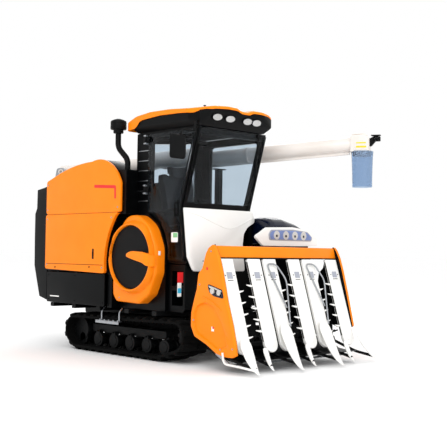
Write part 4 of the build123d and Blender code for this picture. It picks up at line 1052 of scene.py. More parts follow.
# ---------------------------------------------------------------- grain tank and right side
@dataclass
class GrainTank:
    """Orange side panel in two halves, dark body, lid, rear cover, skirt and boarding step."""

    outer: float = -1090.0
    thickness: float = 40.0
    seam: float = 1700.0
    gap: float = 6.0
    skirt_x: float = -1070.0
    rear_y: float = 1500.0
    step_ys: Pair = (-34.0, 426.0)
    outline: Line = ((1480, 1005), (1480, 2128), *arc((1180, 2222), (830, 2300), (480, 2330), 6),
                     *arc((480, 2330), (50, 2248), (-105, 2050), 16), (-105, 2050), (-105, 1716),
                     *arc((-20, 1666), (145, 1380), (194, 1090), 10), (194, 1090), (185, 975))
    stripe: Line = ((414, 2042), (414, 2006), (10, 1983), (6, 1862), (-26, 1862), (-22, 2006),
                    (-6, 2018))
    # height of the rear cover, and its depth behind the tank
    rear_table: Line = ((600, 2), (604, 30), (640, 222), (840, 290), (1043, 357), (1400, 364), (1722, 364),
                        (1793, 322), (1990, 318), (2036, 316), (2060, 150), (2078, 4))
    side_bolts: Line = ((1440, 1060), (1440, 1640), (1440, 1760), (1440, 2080), (236, 1040), (60, 1640),
                        (-60, 1760))

    def build(self) -> None:
        """Makes the tank's pieces."""
        x = self.outer
        piece("tank_side_upper", self.half(True), ORANGE, "tank_side_panels")
        piece("tank_side_lower", self.half(False), ORANGE)
        piece("tank_seam_lip", self.lip(), ORANGE)
        piece("tank_latch", self.latch(), MOULDED)
        piece("tank_body", self.body(), BLACK, "grain_tank")
        piece("tank_rear_casing", self.rear(), BLACK, "tank_rear_cover")
        piece("tank_bolts", bolts([(x, y, z) for y, z in self.side_bolts], "-x", 7.5), BARE)
        skirt = [(self.skirt_x, y, z) for y in (240, 830, 1420) for z in (620, 930)]
        piece("skirt_bolts", bolts(skirt, "-x", 7.5), BLACK)
        piece("boarding_step", self.step(), BARE)
        piece("red_stripe", prism(self.stripe, Across.X, x - 1.0, x + 0.5), RED_FILM)
        piece("side_reflector", block((-1074, 1170, 652), (-1069.5, 1374, 666), 1.5), WHITE)

    def step(self) -> Form:
        """The perforated boarding step over the right track, on its two hangers.

        Returns:
            The tread with its edge, hangers and studs.
        """
        near, far = self.step_ys
        step = block((-1030, near, 400), (-964, far, 412), 4)
        step.add(block((-1030, near, 376), (-1022, far, 402), 3))
        for y in (20, 370):
            step.add(tube([(-976, y, 404), (-976, y, 520), (-930, y, 566)], 9, 30, 10))
        studs = [(-997, 20 + 88 * k, 411, 0, 0, 0) for k in range(5)]
        return step.add(REPEATER.on(turned([(0, 11), (10, 9), (12, 6)], sides=12), studs, BARE))

    def half(self, upper: bool) -> Form:
        """One half of the side panel, with rolled edges.

        Args:
            upper: The half above the seam.

        Returns:
            The panel.
        """
        corners = [Vector(p) for p in self.outline]
        cut = self.seam + (self.gap / 2 if upper else -self.gap / 2)
        kept: list[Pair] = []
        for a, b in zip(corners, corners[1:] + corners[:1]):
            inside_a, inside_b = (a.y > cut) == upper, (b.y > cut) == upper
            if inside_a:
                kept.append(tuple(a))
            if inside_a != inside_b:
                t = (cut - a.y) / (b.y - a.y)
                kept.append((a.x + (b.x - a.x) * t, cut))
        return panel(kept, Across.X, self.outer, self.outer + self.thickness, 46 if upper else 38, 13, 35, 4)

    def lip(self) -> Form:
        """The rolled lips above and under the seam.

        Returns:
            The lips.
        """
        x, lips = self.outer + 4, Form()
        for y, z, r in ((-60, self.seam + 7, 6), (-10, self.seam - 8, 5)):
            lips.add(tube([(x, y, z), (x, 1440, z)], r, sides=8))
        return lips

    def latch(self) -> Form:
        """The latch plate with its grip and two knobs, and two black strips of painted shade: a thin line
        standing for a groove, and a strip in the seam's gap.

        Returns:
            The dark parts of the side panel, with its strips of painted shade.
        """
        x = self.outer
        plate = panel(oblong(402, 1143, 438, 1268), Across.X, x - 2, x + 8, 8, 2)
        for y, z in ((1244, 1030), (494, 1045)):
            plate.add(turned([(-2, 11), (3, 11), (5, 8)], (x, y, z), (-1, 0, 0), 16))
        # the thin black line and the strip behind the seam are painted shade: the groove's shade and the
        # shadow in the gap
        return plate.add(panel(oblong(411, 1178, 429, 1232), Across.X, x - 9, x - 1, 6, 2),
                         block((x - 1.2, 214, 1070), (x + 6, 1450, 1076), 1),
                         block((x + 12, -80, self.seam - 3), (x + 36, 1470, self.seam + 3)))

    def body(self) -> Form:
        """The tank's box with pressed ribs, lid with hinges, skirt and the skirt's brackets.

        Returns:
            The body.
        """
        box = block((-1050, 190, 975), (-60, self.rear_y, 2080), 18)
        box.add(block((-1050, -95, 1690), (-60, 210, 2080), 18))
        flank = [(y, z - 4) for y, z in self.outline[1:25]] + [(-100, 2010), (1478, 2010)]
        box.add(prism(flank, Across.X, -1049, -822).soften(20, 50, 4),
                panel(oblong(-640, 500, -180, 1250), Across.Z, 2084, 2118, 40, 8))
        for y in (640, 1110):
            box.add(turned([(0, 9), (90, 9)], (-184, y - 45, 2112), (0, 1, 0), 12))
        for y in (330, 660, 990, 1320):
            box.add(panel(oblong(y - 22, 1040, y + 22, 2020), Across.X, -64, -49, 12, 5))
        box.add(panel(oblong(200, 580, 1457, 968), Across.X, self.skirt_x, -1050, 20, 5))
        for y in (420, 830, 1240):
            box.add(block((-1046, y - 20, 590), (-860, y + 20, 980), 4))
        return box

    def rear(self) -> Form:
        """The rear cover with its rounded shoulders and two pressed ribs.

        Returns:
            The cover.
        """
        right, left, rings = -1048, -152, []
        for z, depth in self.rear_table:
            cut, back = min(50.0, depth / 2), self.rear_y + depth
            plan = rounded([(right, self.rear_y), (right, back - cut), (right + cut, back), (-200, back),
                            (left, back - cut), (left, self.rear_y)], [0, 24, 24, 24, 24, 0], 4)
            rings.append([(x, y, z) for x, y in plan])
        cover = loft(rings)
        for z in (1180, 1560):
            cover.add(block((-940, 1856, z - 22), (-260, 1865.5, z + 22), 6))
        return cover


@dataclass
class EngineBay:
    """Suction duct, precleaner and the orange screen housing with its spinning screen."""

    middle: Pair = (-318.0, 1175.0)
    disc_radius: float = 362.0
    hole_radius: float = 371.0
    face_radius: float = 386.0
    root_radius: float = 425.0
    face_x: float = -1114.0
    shoulder_x: float = -1040.0
    back_x: float = -900.0
    facets: int = 96                      # round the housing
    stack: Pair = (-992.0, 82.0)          # the dust bowl's axis, x and y
    outline: Line = ((-708, 1000), (-708, 1290), (-590, 1535), (-380, 1664), (-174, 1661), (-1, 1461),
                     (85, 1155), (77, 722), (15, 652), (-420, 640), (-590, 750))
    corner_radii: tuple[float, ...] = (90, 260, 300, 260, 260, 300, 200, 60, 40, 60, 60)
    # the duct's station, outer skin, inner skin, low and high edge
    duct_table: tuple[tuple[float, ...], ...] = ((-716, -1043, -1040.5, 1078, 1188),
        (-706, -1083, -1040.5, 1072, 1199), (-685, -1118, -1041, 1076, 1210), (-662, -1146, -1060, 1086,
        1220), (-640, -1150, -1112, 1098, 1227), (-598, -1150, -1124, 1116, 1237), (-500, -1150, -1124, 1136,
        1242), (-430, -1150, -1124, 1150, 1245), (-388, -1150, -1124, 1160, 1241), (-350, -1149, -1124, 1170,
        1231), (-322, -1146, -1126, 1176, 1221), (-305, -1140, -1130, 1184, 1212))
    # the precleaner's height above its bowl's foot, and its radius
    bowl: Line = ((0, 34), (0, 58), (6, 60), (36, 60), (42, 64), (44, 92), (50, 96), (96, 96), (104, 95),
                  (140, 94), (146, 90), (160, 62), (172, 24), (174, 6))

    def housing(self) -> Form:
        """The moulding as one skin that sweeps from its outline up to the ring's lip.

        Returns:
            The hollow moulding.
        """
        corners = rounded(self.outline, self.corner_radii, 8)
        limits = [reach(self.middle, a, corners) for a in around(self.facets)]
        rings = []
        # share of the outline's distance, station, and how far the ring's root spreads
        for share, x, spread in ((1.0, self.back_x, 0.0), (1.0, self.shoulder_x + 46, 0.0),
                                 (0.995, self.shoulder_x + 18, 0.0), (0.97, self.shoulder_x + 4, 0.0),
                                 (0.93, self.shoulder_x - 2, 0.0), (0.0, self.shoulder_x - 8, 1.0),
                                 (0.0, self.shoulder_x - 26, 0.80), (0.0, self.face_x + 16, 0.30),
                                 (0.0, self.face_x + 5, 0.12), (0.0, self.face_x, 0.0)):
            root = self.face_radius + (self.root_radius - self.face_radius) * spread
            rings.append(self.ring(x, [limit * share if share else min(root, limit * 0.965 - 6 * (1 - spread))
                                       for limit in limits]))
        for r, x in ((self.hole_radius + 4, self.face_x + 1), (self.hole_radius, self.face_x + 6),
                     (self.hole_radius, self.back_x)):
            rings.append(self.ring(x, [r] * self.facets))
        return loft(rings, closed=True)

    def ring(self, x: float, radii: Sequence[float]) -> list[Point]:
        """Returns a ring about the screen's axis at one station, with a radius for each facet."""
        y, z = self.middle
        return [(x, y + r * cos(a), z + r * sin(a)) for a, r in zip(around(self.facets), radii)]

    def screen(self) -> tuple[Form, Form]:
        """The punched disc, and its rolled rim with hub and stays.

        Returns:
            The punched sheet, and the rim with its hub.
        """
        (y, z), x, r = self.middle, self.face_x + 33, self.disc_radius
        sheet = turned([(0, 30), (0, r - 14), (3, r - 14), (3, 30)], (x, y, z), (1, 0, 0), 72)
        rim = [(8, r - 15), (-3, r - 14), (-5, r - 7), (-3, r - 1), (26, r - 1), (26, r - 15)]
        hub = [(-6, 6), (-6, 30), (-3, 36), (0, 40), (20, 40), (20, 33), (self.back_x - x - 2, 33)]
        wheel = turned(rim, (x, y, z), (1, 0, 0), 72).add(turned(hub, (x, y, z), (1, 0, 0), 32))
        for a in (pi / 4 + turn for turn in around(4)):
            wheel.add(tube([(x + 12, y + far * cos(a), z + far * sin(a)) for far in (34, 350)], 8, sides=8))
        return sheet, wheel

    def duct(self) -> Form:
        """The suction duct that reaches from the housing's shoulder over the screen.

        Returns:
            The duct.
        """
        rings = []
        for y, outer, inner, low, high in self.duct_table:
            section = rounded([(outer, low), (inner, low), (inner, high), (outer, high)], [9, 2, 2, 9], 4)
            rings.append([(x, y, z) for x, z in section])
        return loft(rings)

    def precleaner(self) -> Form:
        """The intake pipe with clamps, dust bowl and louvred cap.

        Returns:
            The whole stack.
        """
        x, y = self.stack
        stack = tube([(-960, -70, 2195), (-960, -70, 2330), (x, y, 2480), (x, y, 2655)], 34, 60, 20)
        stack.add(turned(self.bowl, (x, y, 2650), sides=36))
        for z, r in ((2660, 62), (2716, 97.5), (2770, 97.5)):
            stack.add(turned([(0, 60), (0, r), (5, r), (5, 60)], (x, y, z), sides=36))
        for a in around(14):
            px, py = x + 90 * cos(a), y + 90 * sin(a)
            stack.add(block((px - 4, py - 4, 2722), (px + 4, py + 4, 2768)))
        return stack

    def build(self) -> None:
        """Makes the bay's pieces."""
        sheet, rim = self.screen()
        piece("screen_housing_moulding", self.housing(), ORANGE, "screen_housing", sharp=50)
        piece("screen_sheet", sheet, PUNCHED, "screen_disc", body="screen")
        piece("screen_rim", rim, BLACK, body="screen")
        piece("suction_duct", self.duct(), ORANGE, "screen_arm", sharp=45)
        spots = [(self.shoulder_x - 1, y, z) for y, z in ((-650, 1240), (-60, 700), (40, 1180))]
        piece("housing_bolts", bolts(spots, "-x", 7.0), BARE)
        piece("housing_label_blank", block((-992, -711.5, 1202), (-962, -708, 1250), 1), WHITE)
        piece("air_cleaner_stack", self.precleaner(), MOULDED, "air_precleaner")


# ---------------------------------------------------------------- cab and roof
@dataclass
class Cab:
    """Black cab with its door, curved front panel, windscreen, seat, controls and mirror."""

    right: float = -860.0
    left: float = 200.0
    rear: float = -120.0
    top: float = 2640.0
    sill: float = 1740.0
    screen_foot: float = 1745.0
    door_low: float = 1140.0
    door_high: float = 2610.0
    hinge: Pair = (-912.0, -346.0)        # the door's axis, x and y
    hinge_heights: Pair = (1964.0, 2545.0)
    # the front's line in side view: height, station
    screen: Line = ((1100, -1052), (1740, -965), (2640, -1230))

    def front(self, z: float) -> float:
        """Returns the station of the cab's front at a height."""
        return between(self.screen, z)[0]

    def bulge(self, z: float) -> float:
        """Returns the station of the lower front panel's skin at a height."""
        slope = (self.front(1100) - self.front(self.sill)) / (self.sill - 1100)
        return self.front(self.sill) + (self.sill - z) * slope - 38

    def door_outline(self, inset: float) -> list[Pair]:
        """The door's edge in side view, leaning with the windscreen.

        Args:
            inset: Distance inside the edge.

        Returns:
            Corners (y, z).
        """
        low, high, front = self.door_low, self.door_high, self.front
        # corner (y, z) and how far it moves for each millimetre of inset
        table = ((-372, high, -1, -1), (front(high) + 10, high, 1.05, -1), (front(1745) + 12, 1745, 1, 0),
                 (front(1500) + 10, 1500, 1, 0), (front(low) + 10, low, 1.1, 1), (-752, low, -0.7, 1),
                 (-750, 1290, -1, 0), (-700, 1440, -1, 0.3), (-600, 1600, -1, 0.4), (-510, 1695, -1, 0.4),
                 (-372, 1700, -1, 0.4))
        return rounded([(y + inset * dy, z + inset * dz) for y, z, dy, dz in table],
                       [34, 44, 200, 200, 40, 40, 90, 200, 200, 60, 26], 6)

    def surround(self) -> Form:
        """The door's frame round its pane, with hinge halves and the lock's plate.

        Returns:
            The frame.
        """
        outer, inner, low, high = self.door_outline(1), self.door_outline(46), -890, -867
        eased = [(y + (iy - y) * 0.12, z + (iz - z) * 0.12) for (y, z), (iy, iz) in zip(outer, inner)]
        section = ((low + 3, outer), (low, eased), (low, inner), (high, inner), (high, outer))
        form = loft([[(x, y, z) for y, z in line] for x, line in section], closed=True)
        barrel = [(0, 12), (0, 20), (3, 22), (65, 22), (68, 20), (68, 12)]
        for z in self.hinge_heights:
            form.add(block((-918, -412, z - 32), (-866, -360, z + 32), 5),
                     turned(barrel, (*self.hinge, z - 34), sides=20),
                     bolts([(-918, -388, z - 18), (-918, -388, z + 18)], "-x", 7))
        return form.add(block((-889, -924, 1604), (-868, -896, 1836), 4))

    def door(self) -> None:
        """Makes the door's frame, pull handle with lock, pane and blank label."""
        piece("door_surround", self.surround(), BLACK, "door_frame", body="door")
        y, low, high = -910, 1644, 1796
        handle = tube([(-898, y, low), (-934, y, low), (-934, y, high), (-898, y, high)], 8.5, 22)
        for z in (low, high):
            handle.add(turned([(0, 15), (4, 15), (6, 11)], (-897.5, y, z), (-1, 0, 0), 16))
        handle.add(turned([(0, 17), (9, 17), (11, 13)], (-897.5, y - 20, 1560), (-1, 0, 0), 20))
        piece("door_handle", handle, MOULDED, body="door")
        pane = prism(self.door_outline(7), Across.X, -897.5, -890.5).soften(1.6, 35, 2)
        piece("door_pane", pane, GLASS, "door_glass", body="door")
        blank = panel(oblong(-930, 1352, -816, 1462), Across.X, -898.6, -897.4, 14, 0.3)
        piece("door_label_blank", blank, WHITE, body="door")
        tint = panel(oblong(-924, 1404, -848, 1456), Across.X, -899.2, -898.2, 8, 0.3)
        piece("door_label_field", tint, GREEN_FILM, body="door")

    def shell(self) -> Form:
        """Pillars, sills, roof rails and walls, as one rounded weldment.

        Returns:
            The shell, open at every window.
        """
        x0, x1, y1, top = self.right, self.left, self.rear, self.top
        foot, front = self.screen_foot, self.front
        side = rounded([(y1, 1120), (y1, top), (front(top), top), (front(foot), foot), (front(1110), 1110)],
                       [20, 20, 30, 60, 20])
        window = rounded([(-290, 1800), (-290, 2550), (front(2550) + 75, 2550), (front(1800) + 80, 1800)], 40)
        shell = self.wall(side, self.door_outline(40), x0, x0 + 50)
        shell.add(self.wall(side, window, x1 - 50, x1),
                  block((x0 + 8, front(1120) + 26, 1120), (x1 - 8, y1 - 6, 1160), 8),
                  block((x0 + 8, -240, top - 60), (x1 - 8, y1 - 6, top - 1), 8),
                  self.wall(rounded(oblong(x0 + 8, 1124, x1 - 8, top - 4), 20),
                            rounded(oblong(-720, 1880, 30, 2520), 60), y1 - 46, y1 - 4, Across.Y))
        for x in (x0 + 4, x1 - 54):
            post = [[(px, py, z) for px, py in oblong(x, front(z) + 6, x + 50, front(z) + 58)]
                    for z in (foot, 2636)]
            shell.add(loft(post).soften(9, 30))
        return shell.add(self.beam(2560, 2636), self.beam(foot, 1805))

    def beam(self, low: float, high: float) -> Form:
        """A cross beam along the windscreen's plane.

        Args:
            low: Its lower height.
            high: Its upper height.

        Returns:
            The beam.
        """
        section = [(self.front(low) + 8, low), (self.front(low) + 60, low), (self.front(high) + 60, high),
                   (self.front(high) + 8, high)]
        return prism(section, Across.X, self.right + 10, self.left - 10).soften(8, 30)

    @staticmethod
    def wall(outer: Sequence[Pair], inner: Sequence[Pair], low: float, high: float,
             across: Across = Across.X) -> Form:
        """A wall with one opening.

        Args:
            outer: The wall's corners.
            inner: The opening's corners.
            low: Where the wall starts across.
            high: Where it ends.
            across: The axis across the wall.

        Returns:
            The wall.
        """
        am, bm = sum(a for a, _ in inner) / len(inner), sum(b for _, b in inner) / len(inner)
        rings = []
        for corners, t in ((outer, low), (outer, high), (inner, high), (inner, low)):
            spread = [(a, reach((am, bm), a, corners)) for a in around(96)]
            rings.append([across.point(am + far * cos(a), bm + far * sin(a), t) for a, far in spread])
        return loft(rings, closed=True)

    def nose(self) -> Form:
        """The curved lower front panel that bulges over the step, with its raised line.

        Returns:
            The panel.
        """
        low, high = 1028.0, self.sill
        outline = rounded([(-860, high), (208, high), (245, high - 125), (110, high - 190), (36, high - 270),
                           (0, high - 400), (0, low), (-790, low), (-860, low + 160)],
                          [12, 30, 50, 120, 120, 90, 30, 60, 40])
        rings = [[(x, self.bulge(z) + depth, z) for x, z in shrunk(outline, (-340, 1380), share)]
                 for depth, share in ((38.0, 1.0), (12.0, 1.0), (4.0, 0.996), (0.0, 0.986))]
        line = ((-840, 1690), (-680, 1668), (-430, 1575), (-210, 1508), (-30, 1560), (190, 1655))
        return loft(rings).add(tube([(x, self.bulge(z), z) for x, z in line], 5, 110, 8))

    def seat(self) -> None:
        """Makes the seat's base and its padded pieces."""
        piece("seat_base", block((-556, -556, 1142), (-104, -194, 1476), 30), MOULDED, "seat")
        arm = (34, 168, 26)
        pads = {"seat_cushion": self.pad((-330, -445, 1528), (228, 196, 50)),
                "seat_back": self.pad((-330, -262, 1862), (226, 62, 302), 0.09),
                "seat_headrest": self.pad((-330, -240, 2190), (120, 42, 66), 0.09),
                "seat_armrests": self.pad((-112, -390, 1742), arm).add(self.pad((-548, -390, 1742), arm))}
        for name, pad in pads.items():
            piece(name, pad, SEAT)

    @staticmethod
    def pad(middle: Point, half: Point, lean: float = 0.0) -> Form:
        """A crowned closed pad with a pinched seam round its edge.

        Args:
            middle: Its middle.
            half: Half of its sizes.
            lean: Turn about X, in radians.

        Returns:
            The pad.
        """
        form = Form()
        bmesh.ops.create_cube(form.mesh, size=2.0)
        bmesh.ops.subdivide_edges(form.mesh, edges=form.mesh.edges[:], cuts=11, use_grid_fill=True)
        flat = half.index(min(half))
        first, second = [k for k in range(3) if k != flat]
        for vertex in form.mesh.verts:
            p = vertex.co.copy()
            a, b = p[first], p[second]
            crown = 0.52 + 0.48 * max((1 - abs(a) ** 5) * (1 - abs(b) ** 5), 0.0) ** 0.35
            channel = 1 - 0.07 * max(0.0, 1 - abs(abs(a) - 0.5) / 0.05) - 0.05 * max(0.0, 1 - abs(b) / 0.05)
            p[flat] *= crown * channel
            swell = 1 - 0.05 * abs(p[flat]) ** 2
            p[first] *= swell * (1 - 0.03 * abs(b) ** 6)
            p[second] *= swell * (1 - 0.03 * abs(a) ** 6)
            vertex.co = Vector([p[k] * half[k] for k in range(3)])
        form.moved(Matrix.Translation(middle) @ Matrix.Rotation(-lean, 4, "X"))
        bmesh.ops.recalc_face_normals(form.mesh, faces=form.mesh.faces)
        return form

    @staticmethod
    def console() -> Form:
        """The console with three levers in boots, and the dash with its steering lever and dials.

        Returns:
            The controls.
        """
        boot = [(0, 34), (14, 30), (30, 12), (36, 8), (130, 7), (134, 18), (150, 24), (174, 24), (186, 16)]
        console = block((-56, -896, 1142), (136, -254, 1630), 26)
        for y in (-800, -630, -460):
            console.add(turned(boot, (40, y, 1630), (0, -0.15, 1), 20))
        dash = rounded([(-950, 1142), (-806, 1142), (-806, 1640), (-850, 1728), (-944, 1700)], 24)
        console.add(prism(dash, Across.X, -556, -204).soften(10, 35),
                    tube([(-380, -850, 1690), (-380, -780, 1830)], 15),
                    turned([(0, 16), (6, 21), (190, 21), (196, 16)], (-478, -780, 1836), (1, 0, 0), 16))
        for x in (-500, -260):
            console.add(turned([(0, 44), (6, 48), (10, 44), (10, 40)], (x, -872, 1706), (0, 0.45, 1), 28))
        return console

    def glazing(self) -> Form:
        """The windscreen, the left pane and the rear pane.

        Returns:
            The panes.
        """
        front = self.front
        screen = [[(x, y, z) for x, y in oblong(self.right + 14, front(z), self.left - 14, front(z) + 6)]
                  for z in (1800, 2632)]
        left = rounded([(-296, 1806), (-296, 2544), (front(2544) + 82, 2544), (front(1806) + 86, 1806)], 40)
        rear = rounded(oblong(-714, 1886, 24, 2514), 56)
        return loft(screen).add(prism(left, Across.X, self.left - 26, self.left - 20),
                                prism(rear, Across.Y, self.rear - 28, self.rear - 22))

    def wiper(self) -> Form:
        """The windscreen wiper: motor cap, arm and blade.

        Returns:
            The wiper.
        """
        arm, blade, cap = ([(x, self.front(z) + off, z) for x, off, z in line] for line in
                           (((60, -22, 2600), (84, -26, 2440), (112, -16, 2330)),
                            ((70, -12, 2530), (150, -12, 2150)), ((60, 4, 2600),)))
        return tube(arm, 7, sides=8).add(tube(blade, 9, sides=8),
                                         turned([(0, 26), (10, 26), (26, 18)], cap[0], (0, -1, 0.3), 20))

    def hinge_ears(self) -> Form:
        """The body halves of the two door hinges, with their pins.

        Returns:
            The ears.
        """
        ears, (x, y) = Form(), self.hinge
        for z in self.hinge_heights:
            for end in (z - 46, z + 46):
                ears.add(block((x - 20, y - 20, end - 9), (-858, y + 20, end + 9), 4))
            ears.add(turned([(0, 10), (2, 12), (106, 12), (108, 10)], (x, y, z - 54), sides=16))
        return ears

    @staticmethod
    def mirror() -> None:
        """Makes the mirror's housing on its bent arm, and its glass."""
        arm = tube([(-870, -1190, 2662), (-979, -1292, 2662), (-998, -1292, 2555), (-1168, -1292, 2555),
                    (-1205, -1292, 2480)], 11, 34, 14)
        arm.add(turned([(0, 20), (40, 20)], (-998, -1292, 2585), (0, 0, -1), 16))
        outline, middle = rounded(oblong(-1327, 2236, -1112, 2502), 40, 7), (-1225, 2366)
        shell = ((-1313, 0.72), (-1309, 0.86), (-1296, 0.96), (-1280, 0.995), (-1272, 0.99), (-1272, 0.93),
                 (-1276, 0.92))
        housing = loft([[(x, y, z) for x, z in shrunk(outline, middle, share)] for y, share in shell])
        piece("mirror_housing", housing.add(arm), MOULDED, "mirrors")
        piece("mirror_glass", prism(shrunk(outline, middle, 0.915), Across.Y, -1278, -1275.5), MIRROR)

    def build(self) -> None:
        """Makes the cab's pieces."""
        piece("cab_shell", self.shell(), BLACK, "cab_frame", sharp=40)
        piece("cab_hinge_pins", self.hinge_ears(), BARE)
        piece("cab_nose_panel", self.nose(), WHITE, "front_panel", sharp=45)
        self.door()
        slats = [block((-866, -336, z), (-858, -158, z + 10), 2) for z in range(1830, 2421, 118)]
        piece("cab_side_slats", Form().add(*slats), BARE)
        # the small plate by the step has three plain colour fields
        piece("step_plate_red", block((-993, -1049, 905), (-912, -1045.5, 1020), 1), RED_FILM)
        piece("step_plate_white", block((-993, -1049, 752), (-936, -1045.5, 904), 1), WHITE)
        piece("step_plate_blue", block((-990, -1050, 790), (-938, -1048.5, 845), 0.5), BLUE_FILM)
        piece("cab_panes", self.glazing(), GLASS, "cab_glass")
        piece("windscreen_wiper", self.wiper(), MOULDED)
        self.seat()
        piece("cab_console", self.console(), MOULDED, "controls")
        self.mirror()


@dataclass
class Roof:
    """Orange roof shell over a black brow with four oval lamps."""

    base: float = 2640.0
    middle: Pair = (-350.0, -680.0)
    facet: float = 45.0
    plan: Line = ((-955, -20), (-955, -1120), (-905, -1275), (-790, -1345), (40, -1345), (225, -1285),
                  (262, -1080), (200, -240), (70, -20))
    # the crown's x and height
    crown: Line = ((-955, 0), (-864, 24), (-732, 52), (-536, 68), (-382, 65), (-334, 37), (-191, 37),
                   (-143, 65), (10, 66), (160, 45), (262, 0))
    # station, height of the edge, and share of the crown there
    stations: tuple[Point, ...] = ((-1350, 158, 1.0), (-1317, 172, 1.0), (-817, 210, 0.5), (-462, 214, 0.4),
                                   (-204, 188, 0.3), (-20, 120, 0.2))
    # station and height of the shell's hem along the sides and the rear
    band: Line = ((-1350, 118), (-1286, 126), (-989, 147), (-643, 155), (-299, 132), (-235, 104),
                  (-208, 48), (-10, 27))
    lamp_xs: tuple[float, ...] = (-678.0, -481.0, -207.0, -61.0)
    lamp_seat: Pair = (-1275.0, 118.0)    # station and height above the cab
    lamp_tilt: float = 24.0
    lamp_half: Pair = (82.0, 43.0)

    def top(self, x: float, y: float) -> float:
        """Returns the roof's height above the cab at a place."""
        edge, share = between(self.stations, y)
        return edge + share * between(self.crown, x)[0]

    def hem(self, x: float, y: float) -> float:
        """Returns the shell's lower edge above the cab: thin in front, deep along the sides and the rear."""
        deep = max(0.0, min(1.0, (y + 1290) / 90))
        return (1 - deep) * (self.top(x, y) - 30) + deep * between(self.band, y)[0]

    def shell(self) -> Form:
        """The roof skin: its crown, rolled edge and deep rear band.

        Returns:
            The skin as a closed moulding.
        """
        edge = divided(rounded(self.plan, [60, 60, 60, 60, 70, 60, 60, 60, 60], 6), self.facet)
        rings = [[(x, y, self.base + self.top(x, y) - 1) for x, y in shrunk(edge, self.middle, share)]
                 for share in (0.2, 0.4, 0.55, 0.68, 0.78, 0.86, 0.92, 0.96, 0.985)]
        # share of the outline, the line that its height follows, and how far above it
        for share, line, up in ((0.998, self.top, -5), (1.0, self.top, -12), (1.0, self.hem, 4),
                (0.992, self.hem, 0), (0.98, self.top, -26)):
            rings.append([(px, py, self.base + line(x, y) + up)
                          for (x, y), (px, py) in zip(edge, shrunk(edge, self.middle, share))])
        return loft(rings)

    def brow(self) -> Form:
        """The black brow and liner under the shell.

        Returns:
            The brow.
        """
        plan = rounded([(x + (14 if x < 0 else -14) * (y > -1200), min(y, -34)) for x, y in self.plan], 40, 5)
        edge = divided(plan, self.facet)
        rings = []
        for z, front, rear, right, left in ((1, -1236, -142, -872, 140), (15, -1246, -136, -884, 152),
                                            (50, -1274, -96, -926, 190), (78, -1297, -60, -941, 222)):
            rings.append([(min(max(x, right), left), min(max(y, front), rear), self.base + z)
                          for x, y in edge])
        for share in (0.12, 0.3, 0.5, 0.7, 0.85, 1.0):
            rises = [(x, y, (self.top(x, y) - 105) * share) for x, y in edge]
            rings.append([(min(x, 222 + 40 * share), min(max(y, -1297 - up * 0.52), -42), self.base + 78 + up)
                          for x, y, up in rises])
        return loft(rings)

    def bowl(self, x: float, table: Sequence[Pair]) -> Form:
        """An oval lamp part about the lamp's tilted axis.

        Args:
            x: The lamp's middle.
            table: Depth ahead of the lamp's seat and size, from one end to the other.

        Returns:
            The part.
        """
        (wide, tall), (y, z) = self.lamp_half, self.lamp_seat
        rings = [[(wide * size * cos(a), -depth, tall * size * sin(a)) for a in around(40)]
            for depth, size in table]
        turn = Matrix.Rotation(radians(self.lamp_tilt), 4, "X")
        return loft(rings).moved(Matrix.Translation((x, y, self.base + z)) @ turn)

    def lamps(self) -> tuple[Form, Form, Form]:
        """The four oval work lamps.

        Returns:
            Their rims, reflectors and lenses.
        """
        rims, mirrors, lenses = Form(), Form(), Form()
        tilt = radians(self.lamp_tilt)
        ahead = Vector((0, -cos(tilt), -sin(tilt)))
        rim = ((0, 0.96), (44, 0.98), (50, 1.0), (53, 0.97), (53, 0.90), (47, 0.87), (20, 0.80))
        for x in self.lamp_xs:
            seat = Vector((x, self.lamp_seat[0], self.base + self.lamp_seat[1]))
            rims.add(self.bowl(x, rim))
            mirrors.add(self.bowl(x, ((20.5, 0.3), (24, 0.55), (34, 0.76), (44, 0.86))),
                        turned([(0, 4), (0, 12), (14, 13), (22, 8), (24, 2)], seat + ahead * 24, ahead, 16))
            lenses.add(self.bowl(x, ((46, 0.875), (50, 0.86), (52.5, 0.7), (53.5, 0.4))))
        return rims, mirrors, lenses

    def build(self) -> None:
        """Makes the roof's pieces."""
        piece("roof_shell", self.shell(), ORANGE, "roof_cap", sharp=38)
        piece("roof_brow", self.brow(), BLACK, "roof_liner", sharp=40)
        rims, mirrors, lenses = self.lamps()
        piece("roof_lamp_rims", rims, MOULDED, "roof_lamps")
        piece("roof_lamp_reflectors", mirrors, REFLECTOR)
        piece("roof_lamp_lenses", lenses, LENS)
        x, y = -750, -1180
        knob = turned([(-20, 22), (2, 22), (5, 12), (11, 11), (14, 16), (20, 16), (23, 9)],
                      (x, y, self.base + self.top(x, y) - 8), sides=20)
        piece("roof_aerial_knob", knob, MOULDED)


